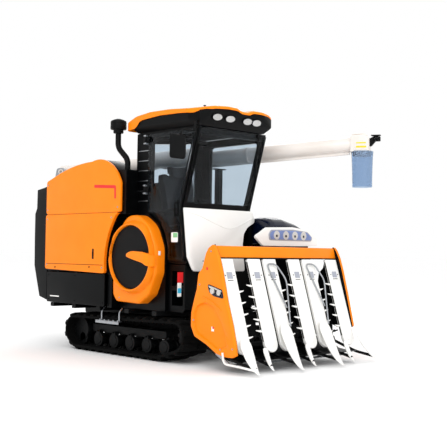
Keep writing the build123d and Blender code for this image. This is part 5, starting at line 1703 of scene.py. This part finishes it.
# ---------------------------------------------------------------- left side
@dataclass
class Thresher:
    """Left side: orange upper cover, dark louvred panel, feed chain and nipping bar."""

    skin: float = 1000.0
    upper: Line = ((-420, 1290), (-300, 1530), (-140, 1650), (900, 1730), (1440, 1670), (1640, 1560),
                   (1640, 1290))
    lower: Line = ((-420, 600), (-420, 1000), (1640, 1000), (1640, 700), (1560, 600))
    # the chain wheels' stations, their height and radius
    chain_ys: Pair = (-560.0, 1600.0)
    chain_z: float = 1105.0
    chain_radius: float = 42.0
    links: int = 40

    def covers(self) -> tuple[Form, Form]:
        """The two side covers.

        Returns:
            The upper and the lower cover.
        """
        x = self.skin
        upper = panel(self.upper, Across.X, x, x + 54, 60, 16)
        rib = rounded([(-300, 1420), (-240, 1500), (900, 1580), (1400, 1540), (1560, 1450), (1560, 1420)], 30)
        upper.add(prism(rib, Across.X, x + 40, x + 54.5).soften(4, 40))
        lower = panel(self.lower, Across.X, x, x + 33, 34, 8)
        for y in (-360, 300, 860):
            lower.add(panel(oblong(y, 650, y + 40, 950), Across.X, x + 30, x + 34.5, 12, 3))
        return upper, lower

    def louvres(self) -> Form:
        """Returns the pressed louvres in the lower cover."""
        slat = prism(rounded([(-2, 0), (9, 4), (10, 9), (-2, 22)], 2, 3), Across.Y, -300, 300)
        return REPEATER.on(slat, [(self.skin + 25, 1200, 704 + 38 * k, 0, 0, 0) for k in range(6)], BLACK)

    def chain(self) -> Form:
        """The feed chain: links with toothed cleats on a rail, round two wheels, under the nipping bar.

        Returns:
            The chain, its wheels, its rail and the bar.
        """
        (y0, y1), z, r, x = self.chain_ys, self.chain_z, self.chain_radius, self.skin + 24
        link = block((-12, -24, -7), (12, 24, 7), 4)
        link.add(prism([(-16, 4), (16, 4), (10, 24), (7, 24)], Across.X, -4, 4).soften(1.5, 30, 2))
        middles = [y0 + (k + 0.5) * (y1 - y0) / self.links for k in range(self.links)]
        places = [(x, y, z + up, turn, 0, 0) for y in middles for up, turn in ((r - 4, 0), (4 - r, pi))]
        for end, way in ((y1, -1), (y0, 1)):
            for a in (pi / 2 + way * pi / 3, pi / 2 + way * pi * 2 / 3):
                places.append((x, end + (r - 4) * cos(a), z + (r - 4) * sin(a), a - pi / 2, 0, 0))
        chain = REPEATER.on(link, places, FRAME_STEEL)
        for y in (y0, y1):
            teeth = [(y + far * cos(a), z + far * sin(a)) for a, far in zip(around(18), (r - 4, r - 12) * 9)]
            chain.add(prism(teeth, Across.X, x - 6, x + 6),
                      turned([(0, 8), (0, 18), (34, 18), (34, 8)], (x - 20, y, z), (1, 0, 0), 16))
        chain.add(block((self.skin, y0, z - 14), (self.skin + 36, y1, z + 14), 4))
        for y in (-300, 400, 1100):
            chain.add(block((self.skin, y - 20, z - 26), (self.skin + 36, y + 20, z + 26), 4))
        bar = rounded([(-470, 1240), (-380, 1186), (1560, 1186), (1560, 1240)], 10)
        chain.add(prism(bar, Across.X, self.skin, self.skin + 48).soften(5))
        for y in range(-250, 1431, 210):
            chain.add(turned([(0, 9), (50, 9)], (self.skin + 30, y, 1236), sides=10),
                      turned([(0, 14), (40, 14)], (self.skin + 30, y, 1240), sides=8))
        return chain

    def build(self) -> None:
        """Makes the left side's pieces, and the chopper behind them."""
        upper, lower = self.covers()
        piece("thresher_upper_cover", upper, ORANGE, "thresher_side_cover")
        piece("thresher_lower_cover", lower, BLACK)
        piece("thresher_louvres", self.louvres(), BLACK)
        piece("feed_chain_links", self.chain(), FRAME_STEEL, "feed_chain")
        StrawChopper().build()
        fixings = [(self.skin + 33, y, z) for y in (-380, 720, 1560) for z in (740, 960)]
        piece("thresher_bolts", bolts(fixings, "+x", 8.0), BARE)


@dataclass
class StrawChopper:
    """Rolled casing at the rear between end plates, with lid seams, handles and outlet vanes."""

    middle_z: float = 1100.0

    def slab(self, share: float, left: float, right: float) -> Form:
        """A slice of the casing.

        Args:
            share: What is left of the outline's distance from the casing's front.
            left: Its lower x.
            right: Its higher x.

        Returns:
            The slice.
        """
        low, high = cad_box("straw_chopper")
        side = rounded([(low.y, 640), (2050, 640), (2230, 760), (high.y, 1020), (high.y, 1180), (2200, 1420),
                        (1980, 1520), (low.y, 1560)], [3, 90, 160, 120, 120, 160, 90, 3], 7)
        return prism(shrunk(side, (low.y, self.middle_z), share), Across.X, left, right).soften(3, 30, 2)

    def build(self) -> None:
        """Makes the casing."""
        low, high = cad_box("straw_chopper")
        casing = self.slab(0.972, low.x + 6, high.x - 6)
        casing.add(self.slab(0.998, low.x + 0.5, low.x + 12), self.slab(0.998, high.x - 12, high.x - 0.5))
        for k in range(1, 4):
            x = low.x + (high.x - low.x) * k / 4
            casing.add(self.slab(0.986, x - 14, x + 14))
        for x in (low.x + 210, low.x + 690):
            grip = [(x, 2150, 1420), (x, 2180, 1452), (x + 130, 2180, 1452), (x + 130, 2150, 1420)]
            casing.add(tube(grip, 8, 20, 10))
        for k in range(6):
            x = low.x + 60 + (high.x - low.x - 120) * k / 5
            casing.add(prism([(1800, 642), (2040, 642), (2010, 700), (1830, 700)], Across.X, x - 3, x + 3))
        piece("chopper_casing", casing, BLACK, "straw_chopper")


# ---------------------------------------------------------------- unloading auger
@dataclass
class UnloadingAuger:
    """Long white tube on its turret, with the spout's hood, lamp bracket and hanging sleeve."""

    x: float = -700.0
    y: float = 1640.0
    pitch_z: float = 2285.0
    heading: float = -61.6
    climb: float = 4.2
    reach: float = 3990.0
    radius: float = 92.0
    neck_radius: float = 112.0
    tail_s: float = 4208.0
    tail_half: float = 35.0

    def rise(self, s: float) -> float:
        """Returns the middle line's height at a distance along the boom."""
        return s * tan(radians(self.climb))

    def boom(self) -> Form:
        """The auger tube with its flange joints, seam strip and root casting.

        Returns:
            The tube, drawn along +X.
        """
        climb, r, end = radians(self.climb), self.radius, self.reach - 92
        along, start = (cos(climb), 0.0, sin(climb)), 62 / cos(climb)
        profile: list[Pair] = [(start, r - 6), (start, r)]
        for s in (1210, 2560):
            profile += [(s - 14, r), (s - 13, r + 10), (s - 1, r + 11), (s, r + 5), (s + 1, r + 11),
                        (s + 13, r + 10), (s + 14, r)]
        boom = turned([*profile, (end, r), (end, r - 6)], (0, 0, 0), along, 40)
        root = [(-48, 60), (-48, 92), (-42, 98), (74, 98), (82, 92), (82, 60)]
        boom.add(turned(root, (0, 0, 0), along, 40),
                 turned([(0, 24), (276, 24)], (0, -138, 0), (0, 1, 0), 20))
        for y, way in ((-138, 1), (138, -1)):
            boom.add(turned([(0, 20), (0, 34), (4, 38), (16, 38)], (0, y, 0), (0, way, 0), 24))
        s0, s1 = 732.0, self.reach - 152
        strip = [(s0, self.rise(s0) - r - 25), (s0, self.rise(s0) - 62), (s1, self.rise(s1) - 62),
                 (s1, self.rise(s1) - r - 25)]
        boom.add(prism(strip, Across.Y, -23, 23).soften(5, 30))
        eye = rounded([(606, -120), (674, -120), (698, -8), (582, -8)], 20)
        return boom.add(prism(eye, Across.Y, -35, -23), prism(eye, Across.Y, 23, 35))

    def spout(self) -> Form:
        """The spout's hood with its neck and the guard wire over it.

        Returns:
            The spout.
        """
        s, up, r = self.reach, self.rise(self.reach), self.neck_radius
        outline = rounded([(s - 134, up - 100), (s - 134, up + 98), (s + 40, up + 104), (s + 91, up + 60),
                           (s + 91, up - 100)], [12, 46, 60, 40, 12], 6)
        neck = [(-44, r - 8), (-44, r - 1), (-40, r), (0, r), (4, r + 6), (12, r + 6), (14, r - 8)]
        bends = ((-120, 100), (-90, 112), (30, 112), (70, 84))
        guard = [(s + along, -70, up + over) for along, over in bends]
        hood = prism(outline, Across.Y, -99, 99).soften(12, 35, 3)
        return hood.add(turned(neck, (s, 0, up - 104), sides=48), tube(guard, 9, 20, 10))

    def lamp(self) -> tuple[Form, Form]:
        """The work lamp on the spout.

        Returns:
            Its housing with the bracket, and its lens.
        """
        s, up, end, half = self.reach, self.rise(self.reach), self.tail_s, self.tail_half - 2
        bracket = rounded([(s + 78, up - 34), (s + 78, up + 56), (end - 60, up + 98), (end - 20, up + 70),
                           (s + 112, up - 30)], 8)
        case = block((end - 112, -half, up + 92), (end, half, up + 104), 4).add(
            block((end - 92, -half + 3, up + 26), (end - 2, half - 3, up + 84), 10),
            block((end - 70, -14, up + 80), (end - 30, 14, up + 96), 3),
            prism(bracket, Across.Y, -20, 20).soften(4, 30))
        return case, block((end - 80, -half - 0.5, up + 34), (end - 16, -half + 6, up + 76), 3)

    def sleeve(self) -> Form:
        """The clear soft sleeve with rolled hems and a slight wave.

        Returns:
            The thin-walled sleeve.
        """
        s, top, height = self.reach, self.rise(self.reach) - 92.0, 432.0
        outside = [(t, 1.4 if t in (0.01, 0.05, 0.94, 0.985) else 0.0)
                   for t in (0.0, 0.01, 0.05, 0.06, 0.2, 0.4, 0.6, 0.8, 0.93, 0.94, 0.985, 1.0)]
        rings = []
        # share of the way down and what is added to the radius: the outer skin with its hems, then the inner
        for t, extra in outside + [(t, -2.4) for t in (1.0, 0.8, 0.6, 0.4, 0.2, 0.0)]:
            wide, wave = 132.0 - 14.5 * t ** 0.7 + extra, 1.2 + 3.4 * t
            waves = [(a, wide + wave * sin(5 * a + 1)) for a in around(60)]
            rings.append([(s - 2 + r * cos(a), r * sin(a), top - height * t) for a, r in waves])
        return loft(rings, closed=True)

    @staticmethod
    def turret() -> Form:
        """The turning head with two ears, worm gear ring and the lift cylinder's fork.

        Returns:
            The head, drawn about the pitch axis.
        """
        ring = [(-169.5, 60), (-169.5, 104), (-160, 112), (-150, 119), (-126, 119), (-120, 114), (-120, 60)]
        head = turned(ring, sides=44)
        ear = rounded([(-92, -128), (92, -128), (58, 52), (-58, 52)], [10, 10, 44, 44], 7)
        for low, high in ((-136, -112.5), (112.5, 136)):
            head.add(prism(ear, Across.Y, low, high).soften(4, 30))
        head.add(block((-92, -134, -168), (92, 134, -122), 6))
        fork = rounded([(80, -166), (160, -166), (164, -130), (84, -124)], 8)
        head.add(prism(fork, Across.Y, -33, -19.5), prism(fork, Across.Y, 19.5, 33))
        return head.add(turned([(0, 11.5), (66, 11.5)], (140, -33, -150), (0, 1, 0), 16))

    def leg(self) -> Form:
        """The upright tube that stands out of the rear casing.

        Returns:
            The tube with its top flange.
        """
        low, high = cad_box("auger_leg")
        tall = high.z - low.z
        side = [(0, 90), (0, 105), (tall - 34, 105), (tall - 32, 117), (tall - 4, 117), (tall, 112),
            (tall, 90)]
        return turned(side, (self.x, self.y, low.z), sides=40)

    def build(self) -> None:
        """Makes the auger's pieces: each is drawn along +X, up +Z, and set on the stowed boom."""
        turn = Matrix.Rotation(radians(self.heading), 4, "Z")
        at = Matrix.Translation((self.x, self.y, self.pitch_z)) @ turn
        piece("auger_tube", self.boom().add(self.spout()).moved(at), AUGER_WHITE, "auger_boom", body="boom")
        case, lens = self.lamp()
        piece("spout_lamp", case.moved(at), MOULDED, body="boom")
        piece("spout_lamp_lens", lens.moved(at), LENS, body="boom")
        sheet = self.sleeve().moved(at)
        sleeve = piece("spout_vinyl_sleeve", sheet, VINYL, "spout_sleeve", body="boom", sharp=60)
        piece("auger_turning_head", self.turret().moved(at), BARE, "auger_turret", body="turret")
        piece("auger_upright", self.leg(), AUGER_WHITE, "auger_leg")
        s, up = self.reach, self.rise(self.reach)
        tag = block((s - 60, -99.8, up - 6), (s + 58, -98.8, up + 10))
        tag.add(block((s - 62, -99.8, up - 56), (s + 62, -98.8, up - 34)))
        piece("spout_label_blank", tag.moved(at), YELLOW_FILM, body="boom")


# ---------------------------------------------------------------- crop header
@dataclass
class Header:
    """Six-row head: side panels, top cover, lifter cases with tines, dividers, knife and lamp."""

    x: float = -20.0
    side: float = 970.0
    pitch: float = 330.0                  # between two rows
    beam: Pair = (-1640.0, 235.0)         # the low cross beam's station and height
    case_low: Pair = (-2005.0, 200.0)
    case_high: Pair = (-1695.0, 1180.0)
    case_width: float = 196.0
    case_depth: float = 38.0
    middles: tuple[float, ...] = (-877, -463, -219, 179, 423, 837)
    tine_sides: tuple[int, ...] = (1, -1, 1, -1, 1, -1)
    tine_step: float = 124.0
    sections: int = 36                    # of the knife
    knife_at: Pair = (-1900.0, 76.0)
    dish_middle: Pair = (-1640.0, 560.0)
    right_outline: Line = ((-1641, 1331), (-1681, 1283), (-1727, 1195), (-1777, 1046), (-1860, 734),
                           (-1941, 496), (-1995, 293), (-2009, 195), (-1948, 168), (-1847, 167),
                           (-1719, 190), (-1560, 273), (-1369, 347), (-1312, 452), (-1314, 597),
                           (-1347, 708), (-1398, 856), (-1421, 1019), (-1482, 1075), (-1537, 1237),
                           (-1576, 1292))
    lamp_outline: Line = ((-1605, 828), (-1572, 916), (-1799, 857), (-1829, 764), (-1672, 787))
    # share of the divider's length, of its width and of its depth
    leaf: tuple[Point, ...] = ((0.0, 0.08, 0.35), (0.12, 0.24, 0.55), (0.3, 0.5, 0.8), (0.6, 0.84, 1.0),
                               (0.86, 1.0, 0.95), (0.95, 0.92, 0.8), (1.0, 0.62, 0.5))
    # each long divider's crown: x, height and width
    crowns: tuple[Point, ...] = ((-885, 345, 158), (-233, 470, 176), (409, 470, 180), (995, 392, 158))

    @property
    def skin_x(self) -> float:
        """The outermost station of the right side panel."""
        return self.x - self.side - 38

    def front(self, z: float) -> float:
        """Returns the station of the cases' front face at a height."""
        (y0, z0), (y1, z1) = self.case_low, self.case_high
        return y0 + (z - z0) * (y1 - y0) / (z1 - z0)

    def lean(self) -> float:
        """Returns the turn about X that lays a flat form on the cases' front face."""
        (y0, z0), (y1, z1) = self.case_low, self.case_high
        return atan2(z1 - z0, y1 - y0)

    def on_case(self, x: float) -> Matrix:
        """Places a form drawn x across, y up the case and z out of it onto a case's front face."""
        return Matrix.Translation((x, *self.case_low)) @ Matrix.Rotation(self.lean(), 4, "X")

    def build(self) -> None:
        """Makes the header's pieces."""
        self.panels()
        self.cases()
        self.dividers()
        self.knife()
        self.lamp()
        self.wires()
        self.stars()

    def panels(self) -> None:
        """Makes the side panels with their raised line, and the top cover."""
        x0 = self.skin_x
        piece("side_label_blank", block((x0 + 25, -1656, 418), (x0 + 28, -1618, 466)), WHITE, body="header")
        red = block((x0 + 24.5, -1656, 444), (x0 + 26, -1632, 466))
        red.add(block((x0 - 1.5, -1578, 1058), (x0 + 2, -1552, 1086)))
        piece("side_label_red", red, RED_FILM, body="header")
        corners = [*self.right_outline[:5], (-1945, 393), (-1700, 380), (-1430, 480),
            *self.right_outline[16:]]
        left = prism(rounded(corners, 30, 4), Across.X, 950.5, 987.5).soften(7, 35, 3)
        piece("header_side_skins", self.side_skin().add(left), ORANGE, "header_side_panels", body="header")
        # a black sheet on the side panels' inner faces: painted shade inside the header
        painted_inner_shade = prism([(y, z + 4 if z < 700 else z - 4) for y, z in corners], Across.X, 946, 950.2)
        painted_inner_shade.add(prism(self.right_outline, Across.X, x0 + 37.8, x0 + 41))
        piece("header_side_lining", painted_inner_shade, MOULDED, body="header")
        line = tube([(x0, -1500, 775), (x0, -1600, 752), (x0, -1712, 700), (x0, -1790, 640)], 5, 80, 8)
        piece("header_side_raised_line", line, ORANGE, body="header")
        low, high = cad_box("header_top_cover")
        top = rounded([(-1676, 1191), (-1645, 1326), (-1578, 1289), (-1541, 1235), (-1556, 1225),
            (-1590, 1268), (-1634, 1296), (-1658, 1191)], [12, 26, 26, 8, 8, 22, 20, 10], 5)
        cover = prism(top, Across.X, low.x + 1, high.x - 1).soften(3, 40, 2)
        piece("header_top_skin", cover, ORANGE, "header_top_cover", body="header")
        spots = ((-1620, 1255), (-1500, 1150), (-1450, 900), (-1360, 520), (-1780, 240), (-1960, 260))
        piece("header_bolts", bolts([(x0, y, z) for y, z in spots], "-x", 7.0), BARE, body="header")

    def side_skin(self) -> Form:
        """The right side panel: rolled edges round a flat field with a dished lower part.

        Returns:
            The panel.
        """
        (ym, zm), x0 = self.dish_middle, self.skin_x
        radii = [30] + [60] * 6 + [16, 40, 40, 60, 60, 40] + [60] * 5 + [40, 40, 30]
        outline = rounded(self.right_outline, radii, 4)
        dish = rounded([(-1430, 702), (-1555, 713), (-1665, 676), (-1762, 580), (-1838, 430), (-1890, 268),
                        (-1730, 238), (-1570, 318), (-1400, 392), (-1352, 480), (-1362, 590)], 60, 5)
        angles = [atan2(z - zm, y - ym) for y, z in outline]
        rims = ([hypot(y - ym, z - zm) for y, z in outline], [reach((ym, zm), a, dish) for a in angles])
        rings = []
        # depth behind the outermost station, distance inside the rim, and which rim: the panel's or the
        # dish's
        for depth, pull, rim in ((37.5, 0.0, 0), (12.0, 0.0, 0), (5.0, 4.0, 0), (1.5, 12.0, 0),
                (0.5, 22.0, 0), (0.5, -10.0, 1), (3.0, -4.0, 1), (24.0, 6.0, 1), (27.0, 16.0, 1),
                (27.0, 90.0, 1)):
            rings.append([(x0 + depth, ym + (far - pull) * cos(a), zm + (far - pull) * sin(a))
                          for a, far in zip(angles, rims[rim])])
        return loft(rings)

    def cases(self) -> None:
        """Makes the white lifter cases, their tines, wear strips and blank labels."""
        half, length = self.case_width / 2, (Vector(self.case_high) - Vector(self.case_low)).length
        foot = [(half, length), (-half, length), *((-half * cos(pi * k / 20), half - half * sin(pi * k / 20))
                                                   for k in range(21))]
        spine = rounded(oblong(-34, 150, 34, length - 20), 34, 8)
        label = oblong(-40, length - 222, 40, length - 148)
        shells, strips, labels = Form(), Form(), Form()
        for x, way in zip(self.middles, self.tine_sides):
            at = self.on_case(x)
            shells.add(prism(foot, Across.Z, -self.case_depth, -0.5).soften(9, 35, 4).moved(at),
                       prism(spine, Across.Z, -4, 3.5).soften(3, 35, 3).moved(at),
                       turned([(0, 46), (2, 46), (6, 40), (6, 20)], (0, 98, -0.5)).moved(at))
            strips.add(block((way * half - 5, 120, -26), (way * half + 5, length - 30, -12), 3).moved(at),
                       block((-38, length - 242, 0), (38, length - 234, 4.6), 1).moved(at))
            labels.add(panel(label, Across.Z, 3.4, 4.3, 6, 0.3).moved(at))
            for off in (-62, 62):
                strips.add(turned([(-1, 7), (2, 7), (3, 4)], (off, length - 185, 0), sides=12).moved(at))
        piece("lifter_case_shells", shells, WHITE, "lifter_cases", body="header")
        piece("lifter_wear_strips", strips, MOULDED, body="header")
        piece("lifter_case_labels", labels, GREY_FILM, body="header")
        piece("lifter_tine_rows", self.tines(), WHITE, "lifter_tines", body="header")

    def tines(self) -> Form:
        """The moulded tines along one edge of each case, tilted up.

        Returns:
            All the tines.
        """
        # distance out, rise, and half of its height and thickness there
        stations = ((0, 0, 12, 7), (14, 1, 11, 7), (44, 6, 8, 6), (72, 12, 5, 5), (79, 14, 3, 4))
        tine = loft([[(x, y - h, -t), (x, y + h, -t), (x, y + h, t), (x, y - h, t)]
            for x, y, h, t in stations])
        tine, rows = tine.soften(2.4, 30, 2), Form()
        for way, shape, first in ((1, tine, 170), (-1, tine.mirrored(), 232)):
            spots = [self.on_case(x) @ Vector((way * self.case_width / 2, first + self.tine_step * k,
                                               -self.case_depth / 2))
                     for x, side in zip(self.middles, self.tine_sides) if side == way for k in range(5)]
            rows.add(REPEATER.on(shape, [(*spot, self.lean(), 0.0, 0.0) for spot in spots], WHITE))
        return rows

    def shoe(self, tip: Point, crown: Point, width: float, depth: float) -> Form:
        """One divider shoe: a pointed leaf with a rounded ridge and rolled edges.

        Args:
            tip: The point near the ground.
            crown: The upper end.
            width: Full width.
            depth: Thickness of the moulding.

        Returns:
            The shoe.
        """
        (x0, y0, z0), (x1, y1, z1) = tip, crown
        rings = []
        for n in range(29):
            t = n / 28
            wide, deep = between(self.leaf, t)
            slope = atan2(1.6 * max(t, 0.02) ** 0.6 * (z1 - z0), y1 - y0)
            x, y, z = x0 + (x1 - x0) * t, y0 + (y1 - y0) * t, z0 + (z1 - z0) * t ** 1.6
            w, d = wide * width / 2 * 0.985, deep * depth / 2 * 0.95
            ring = []
            for a in around(28):
                px = w * abs(cos(a)) ** 0.55 * (1 if cos(a) > 0 else -1)
                pz = d * abs(sin(a)) ** 0.8 * (1 if sin(a) > 0 else -0.8)
                ring.append((x + px, y - pz * sin(slope), z + pz * cos(slope)))
            rings.append(ring)
        return loft(rings)

    def dividers(self) -> None:
        """Makes the four long and three short dividers with their pipes, and a black floor pan that is partly
        the header's underside and partly painted shade under the cases.
        """
        leaves, pipes = Form(), Form()
        for k in range(7):
            x = self.x + (k - 3) * self.pitch
            if k % 2 == 0:
                cx, cz, width = self.crowns[k // 2]
                leaves.add(self.shoe((x, -2336, 41), (cx, self.front(cz) - 30, cz), width, 44))
                tip = -2250.0
            else:
                x, cx, tip = x + 25, x + 40, -2160.0
                leaves.add(self.shoe((x, -2200, 41), (cx, -2047, 255), 66, 34))
            pipe_x = x + 0.35 * (cx - x)
            root = min(max(pipe_x, -965.0), 925.0)
            route = [(root, *self.beam), ((root + pipe_x) / 2, -1990, 118), (pipe_x, tip, 80)]
            pipes.add(tube(route, 16.5, 60, 16))
        piece("divider_shoes", leaves, WHITE, "dividers", body="header", sharp=50)
        piece("divider_pipes", pipes, FRAME_STEEL, body="header")
        # a black sheet under the cases: partly the header's underside, partly painted shade where the floor
        # would show
        pan = [(-2052, 128), (-1900, 118), (-1700, 142), (-1500, 228), (-1500, 236), (-1700, 150),
            (-1900, 126), (-2052, 136)]
        piece("header_floor_pan", prism(pan, Across.X, -955, 915), BLACK, body="header")

    def knife(self) -> None:
        """Makes the reciprocating knife, its guards and the arms that carry it."""
        half, (y, z) = self.side - 20, self.knife_at
        start, step = self.x - half, 2 * half / self.sections
        blade = prism([(-22, 0), (22, 0), (5, -48), (-5, -48)], Across.Z, 0, 4).soften(1, 30, 1)
        guard = loft([[(-8, 10, -6), (8, 10, -6), (8, 10, 5), (-8, 10, 5)],
                      [(-6, -40, -5), (6, -40, -5), (6, -40, 4), (-6, -40, 4)],
                      [(-1, -68, -2), (1, -68, -2), (1, -68, 0), (-1, -68, 0)]])
        blades = [(start + (k + 0.5) * step, y + 24, z + 8, 0, 0, 0) for k in range(self.sections)]
        guards = [(start + k * step, y + 20, z + 3, 0, 0, 0) for k in range(1, self.sections)]
        knife = block((start, y + 20, z), (self.x + half, y + 60, z + 9), 2)
        knife.add(REPEATER.on(blade, blades, BARE), REPEATER.on(guard, guards, BARE))
        arm = [(y + 20, z), (y + 60, z), (-1632, 172), (-1642, 233), (-1668, 203)]
        for x in (start + 20, -505, -180, 145, 470, self.x + half - 20):
            knife.add(prism(arm, Across.X, x - 6, x + 6).soften(2, 30, 1))
        piece("knife_and_guards", knife, BARE, "cutter_bar", body="header")

    def lamp(self) -> None:
        """Makes the side lamp: its case, lens and reflectors."""
        x0, outline = self.skin_x, rounded(self.lamp_outline, [24, 30, 24, 24, 30], 6)
        case = prism(outline, Across.X, x0 - 6, x0 + 2).soften(3, 35, 2)
        lens = prism(shrunk(outline, (-1700, 848), 0.9, 0.86), Across.X, x0 - 11.5, x0 - 5).soften(3, 35, 3)
        piece("header_side_lamp", case, NAVY, "header_lamps", body="header")
        piece("header_side_lamp_lens", lens, LENS, body="header")
        sweep = [(-1600, 896), (-1700, 874), (-1796, 846), (-1790, 834), (-1700, 858), (-1612, 874)]
        cups = prism(sweep, Across.X, x0 - 7.5, x0 - 5)
        for y, z, r in ((-1655, 842, 34), (-1752, 826, 30)):
            cups.add(turned([(0, r), (4, r), (5, r - 8), (3, 8)], (x0 - 5, y, z), (-1, 0, 0), 20))
        piece("header_side_lamp_reflector", cups, REFLECTOR, body="header")

    def wires(self) -> None:
        """Makes the steel guide loops over the dividers and the skid rod."""
        loops, front = Form(), self.front
        for x in (self.middles[2], self.middles[4]):
            loops.add(tube([(x + 92, front(450) - 14, 450), (x + 115, front(951) - 82, 951),
                            (x + 67, front(1126) - 20, 1126), (x - 83, front(1126) - 20, 1126),
                            (x + 98, front(650) - 16, 650)], 8.5, 60, 12))
        skid = [(-1040, -1830, 215), (-1040, -1850, 102), (-1040, -2120, 90), (-1010, -2258, 72)]
        piece("divider_skid_rod", tube(skid, 11.5, 50, 12), WHITE, body="header")
        piece("guide_wires", loops, BARE, "guide_rods", body="header")

    def stars(self) -> None:
        """Makes the six star wheels that gather the stalks, on arms from the beam."""
        hub = turned([(-38, 14), (-38, 24), (-34, 28), (36, 28), (40, 22), (40, 10)], sides=20)
        wheels = Form()
        for row in (-2, 0, 2):
            for side, turn in ((-1, pi / 7), (1, 0.0)):
                x = self.x + row * self.pitch + side * 104
                rim = zip(around(28), (99, 84, 50, 84) * 7)
                star = prism([(r * cos(a + turn), r * sin(a + turn)) for a, r in rim], Across.Z, 1, 15)
                star.soften(2.5, 25, 2).add(hub)
                wheels.add(star.moved(Matrix.Translation((x, -1775, 330)) @ Matrix.Rotation(-0.305, 4, "X")),
                           tube([(x, -1771, 294), (x, *self.beam)], 16))
        piece("star_wheel_set", wheels, MOULDED, "star_wheels", body="header")


@dataclass
class Hood:
    """White fascia and navy bonnet over the feeder, with one long lamp."""

    fascia: Line = ((-50, 1438), (60, 1490), (150, 1545), (600, 1560), (900, 1530), (1050, 1440),
                    (1052, 1340), (620, 1328), (90, 1328))
    arch: Line = ((262, 1362), (262, 1640), (330, 1672), (520, 1672), (760, 1615), (930, 1535),
                  (1045, 1430), (1055, 1362))
    # the bonnet's top line in side view
    nose: Line = ((-1260, 1572), (-1225, 1622), (-1170, 1654), (-1090, 1672), (-1000, 1678),
                  (-850, 1670))
    foot: float = 1362.0
    middle: float = 650.0
    lamp: Line = ((190, 1398), (176, 1470), (215, 1520), (600, 1532), (860, 1510), (952, 1440),
                  (930, 1396))
    lamp_middle: Pair = (570.0, 1462.0)

    def bonnet(self) -> Form:
        """The navy cover, swept from the fascia back to the cab.

        Returns:
            The cover.
        """
        arch = rounded(self.arch, [10, 60, 60, 80, 120, 120, 50, 10], 6)
        rings = []
        for n in range(22):
            y, share = -1259 + 404 * (n / 21) ** 1.4, 1.0 if n else 0.985
            tall = (between(self.nose, y)[0] - self.foot) / 310
            section = shrunk(arch, (self.middle, self.foot), share, tall * share)
            rings.append([(x, y, z + 1) for x, z in section])
        return loft(rings)

    def build(self) -> None:
        """Makes the hood's pieces."""
        face = prism(rounded(self.fascia, [40, 80, 60, 90, 120, 60, 20, 20, 40], 6), Across.Y, -1300, -1261)
        piece("hood_front_moulding", face.soften(9, 35, 4), WHITE, "hood_fascia", body="header")
        piece("hood_bonnet", self.bonnet(), NAVY, "hood_top", body="header", sharp=50)
        lamp = rounded(self.lamp, [24, 40, 40, 60, 60, 30, 24], 6)
        bezel = prism(lamp, Across.Y, -1307, -1296).soften(4, 35, 3)
        lens = prism(shrunk(lamp, self.lamp_middle, 0.965, 0.82), Across.Y, -1313, -1304).soften(4, 35, 3)
        piece("hood_lamp_bezel", bezel, GREY_FILM, body="header")
        piece("hood_lamp_lens", lens, LENS, body="header")
        glow = prism(shrunk(lamp, self.lamp_middle, 0.95, 0.78), Across.Y, -1308.5, -1306)
        piece("hood_lamp_chamber", glow, CHAMBER, body="header")
        cups, bulbs = Form(), Form()
        for x in (310, 470, 630, 785):
            cups.add(turned([(0, 50), (3, 52), (4.2, 46), (2.5, 18)], (x, -1306.5, 1458), (0, -1, 0), 28))
            bulbs.add(turned([(0, 16), (4.5, 15), (5.5, 6)], (x, -1306.5, 1450), (0, -1, 0), 20))
        piece("hood_lamp_reflector", cups, REFLECTOR, body="header")
        piece("hood_lamp_bulbs", bulbs, CAST, body="header")


def carried_finishes() -> None:
    """Dresses the CAD nodes that show their own shape."""
    dress(FRAME_STEEL, "chassis_frame", "transmission", "header_frame", "auger_rest", "lift_cylinder_barrel",
          "boom_cylinder_barrel")
    dress(CHROME, "lift_cylinder_rod", "boom_cylinder_rod")
    dress(CAST, "engine")
    dress(BLACK, "engine_bay_cover", "cab_base", "thresher_body", "feeder_house")


def main() -> None:
    """Builds the scene."""
    logging.basicConfig(level=logging.INFO, format="%(name)s %(message)s")
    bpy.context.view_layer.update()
    for assembly in (Studio(), CrawlerTracks(), GrainTank(), EngineBay(), Cab(), Roof(), Thresher(),
                     UnloadingAuger(), Header(), Hood()):
        assembly.build()
    carried_finishes()


if __name__ == "__main__":
    main()
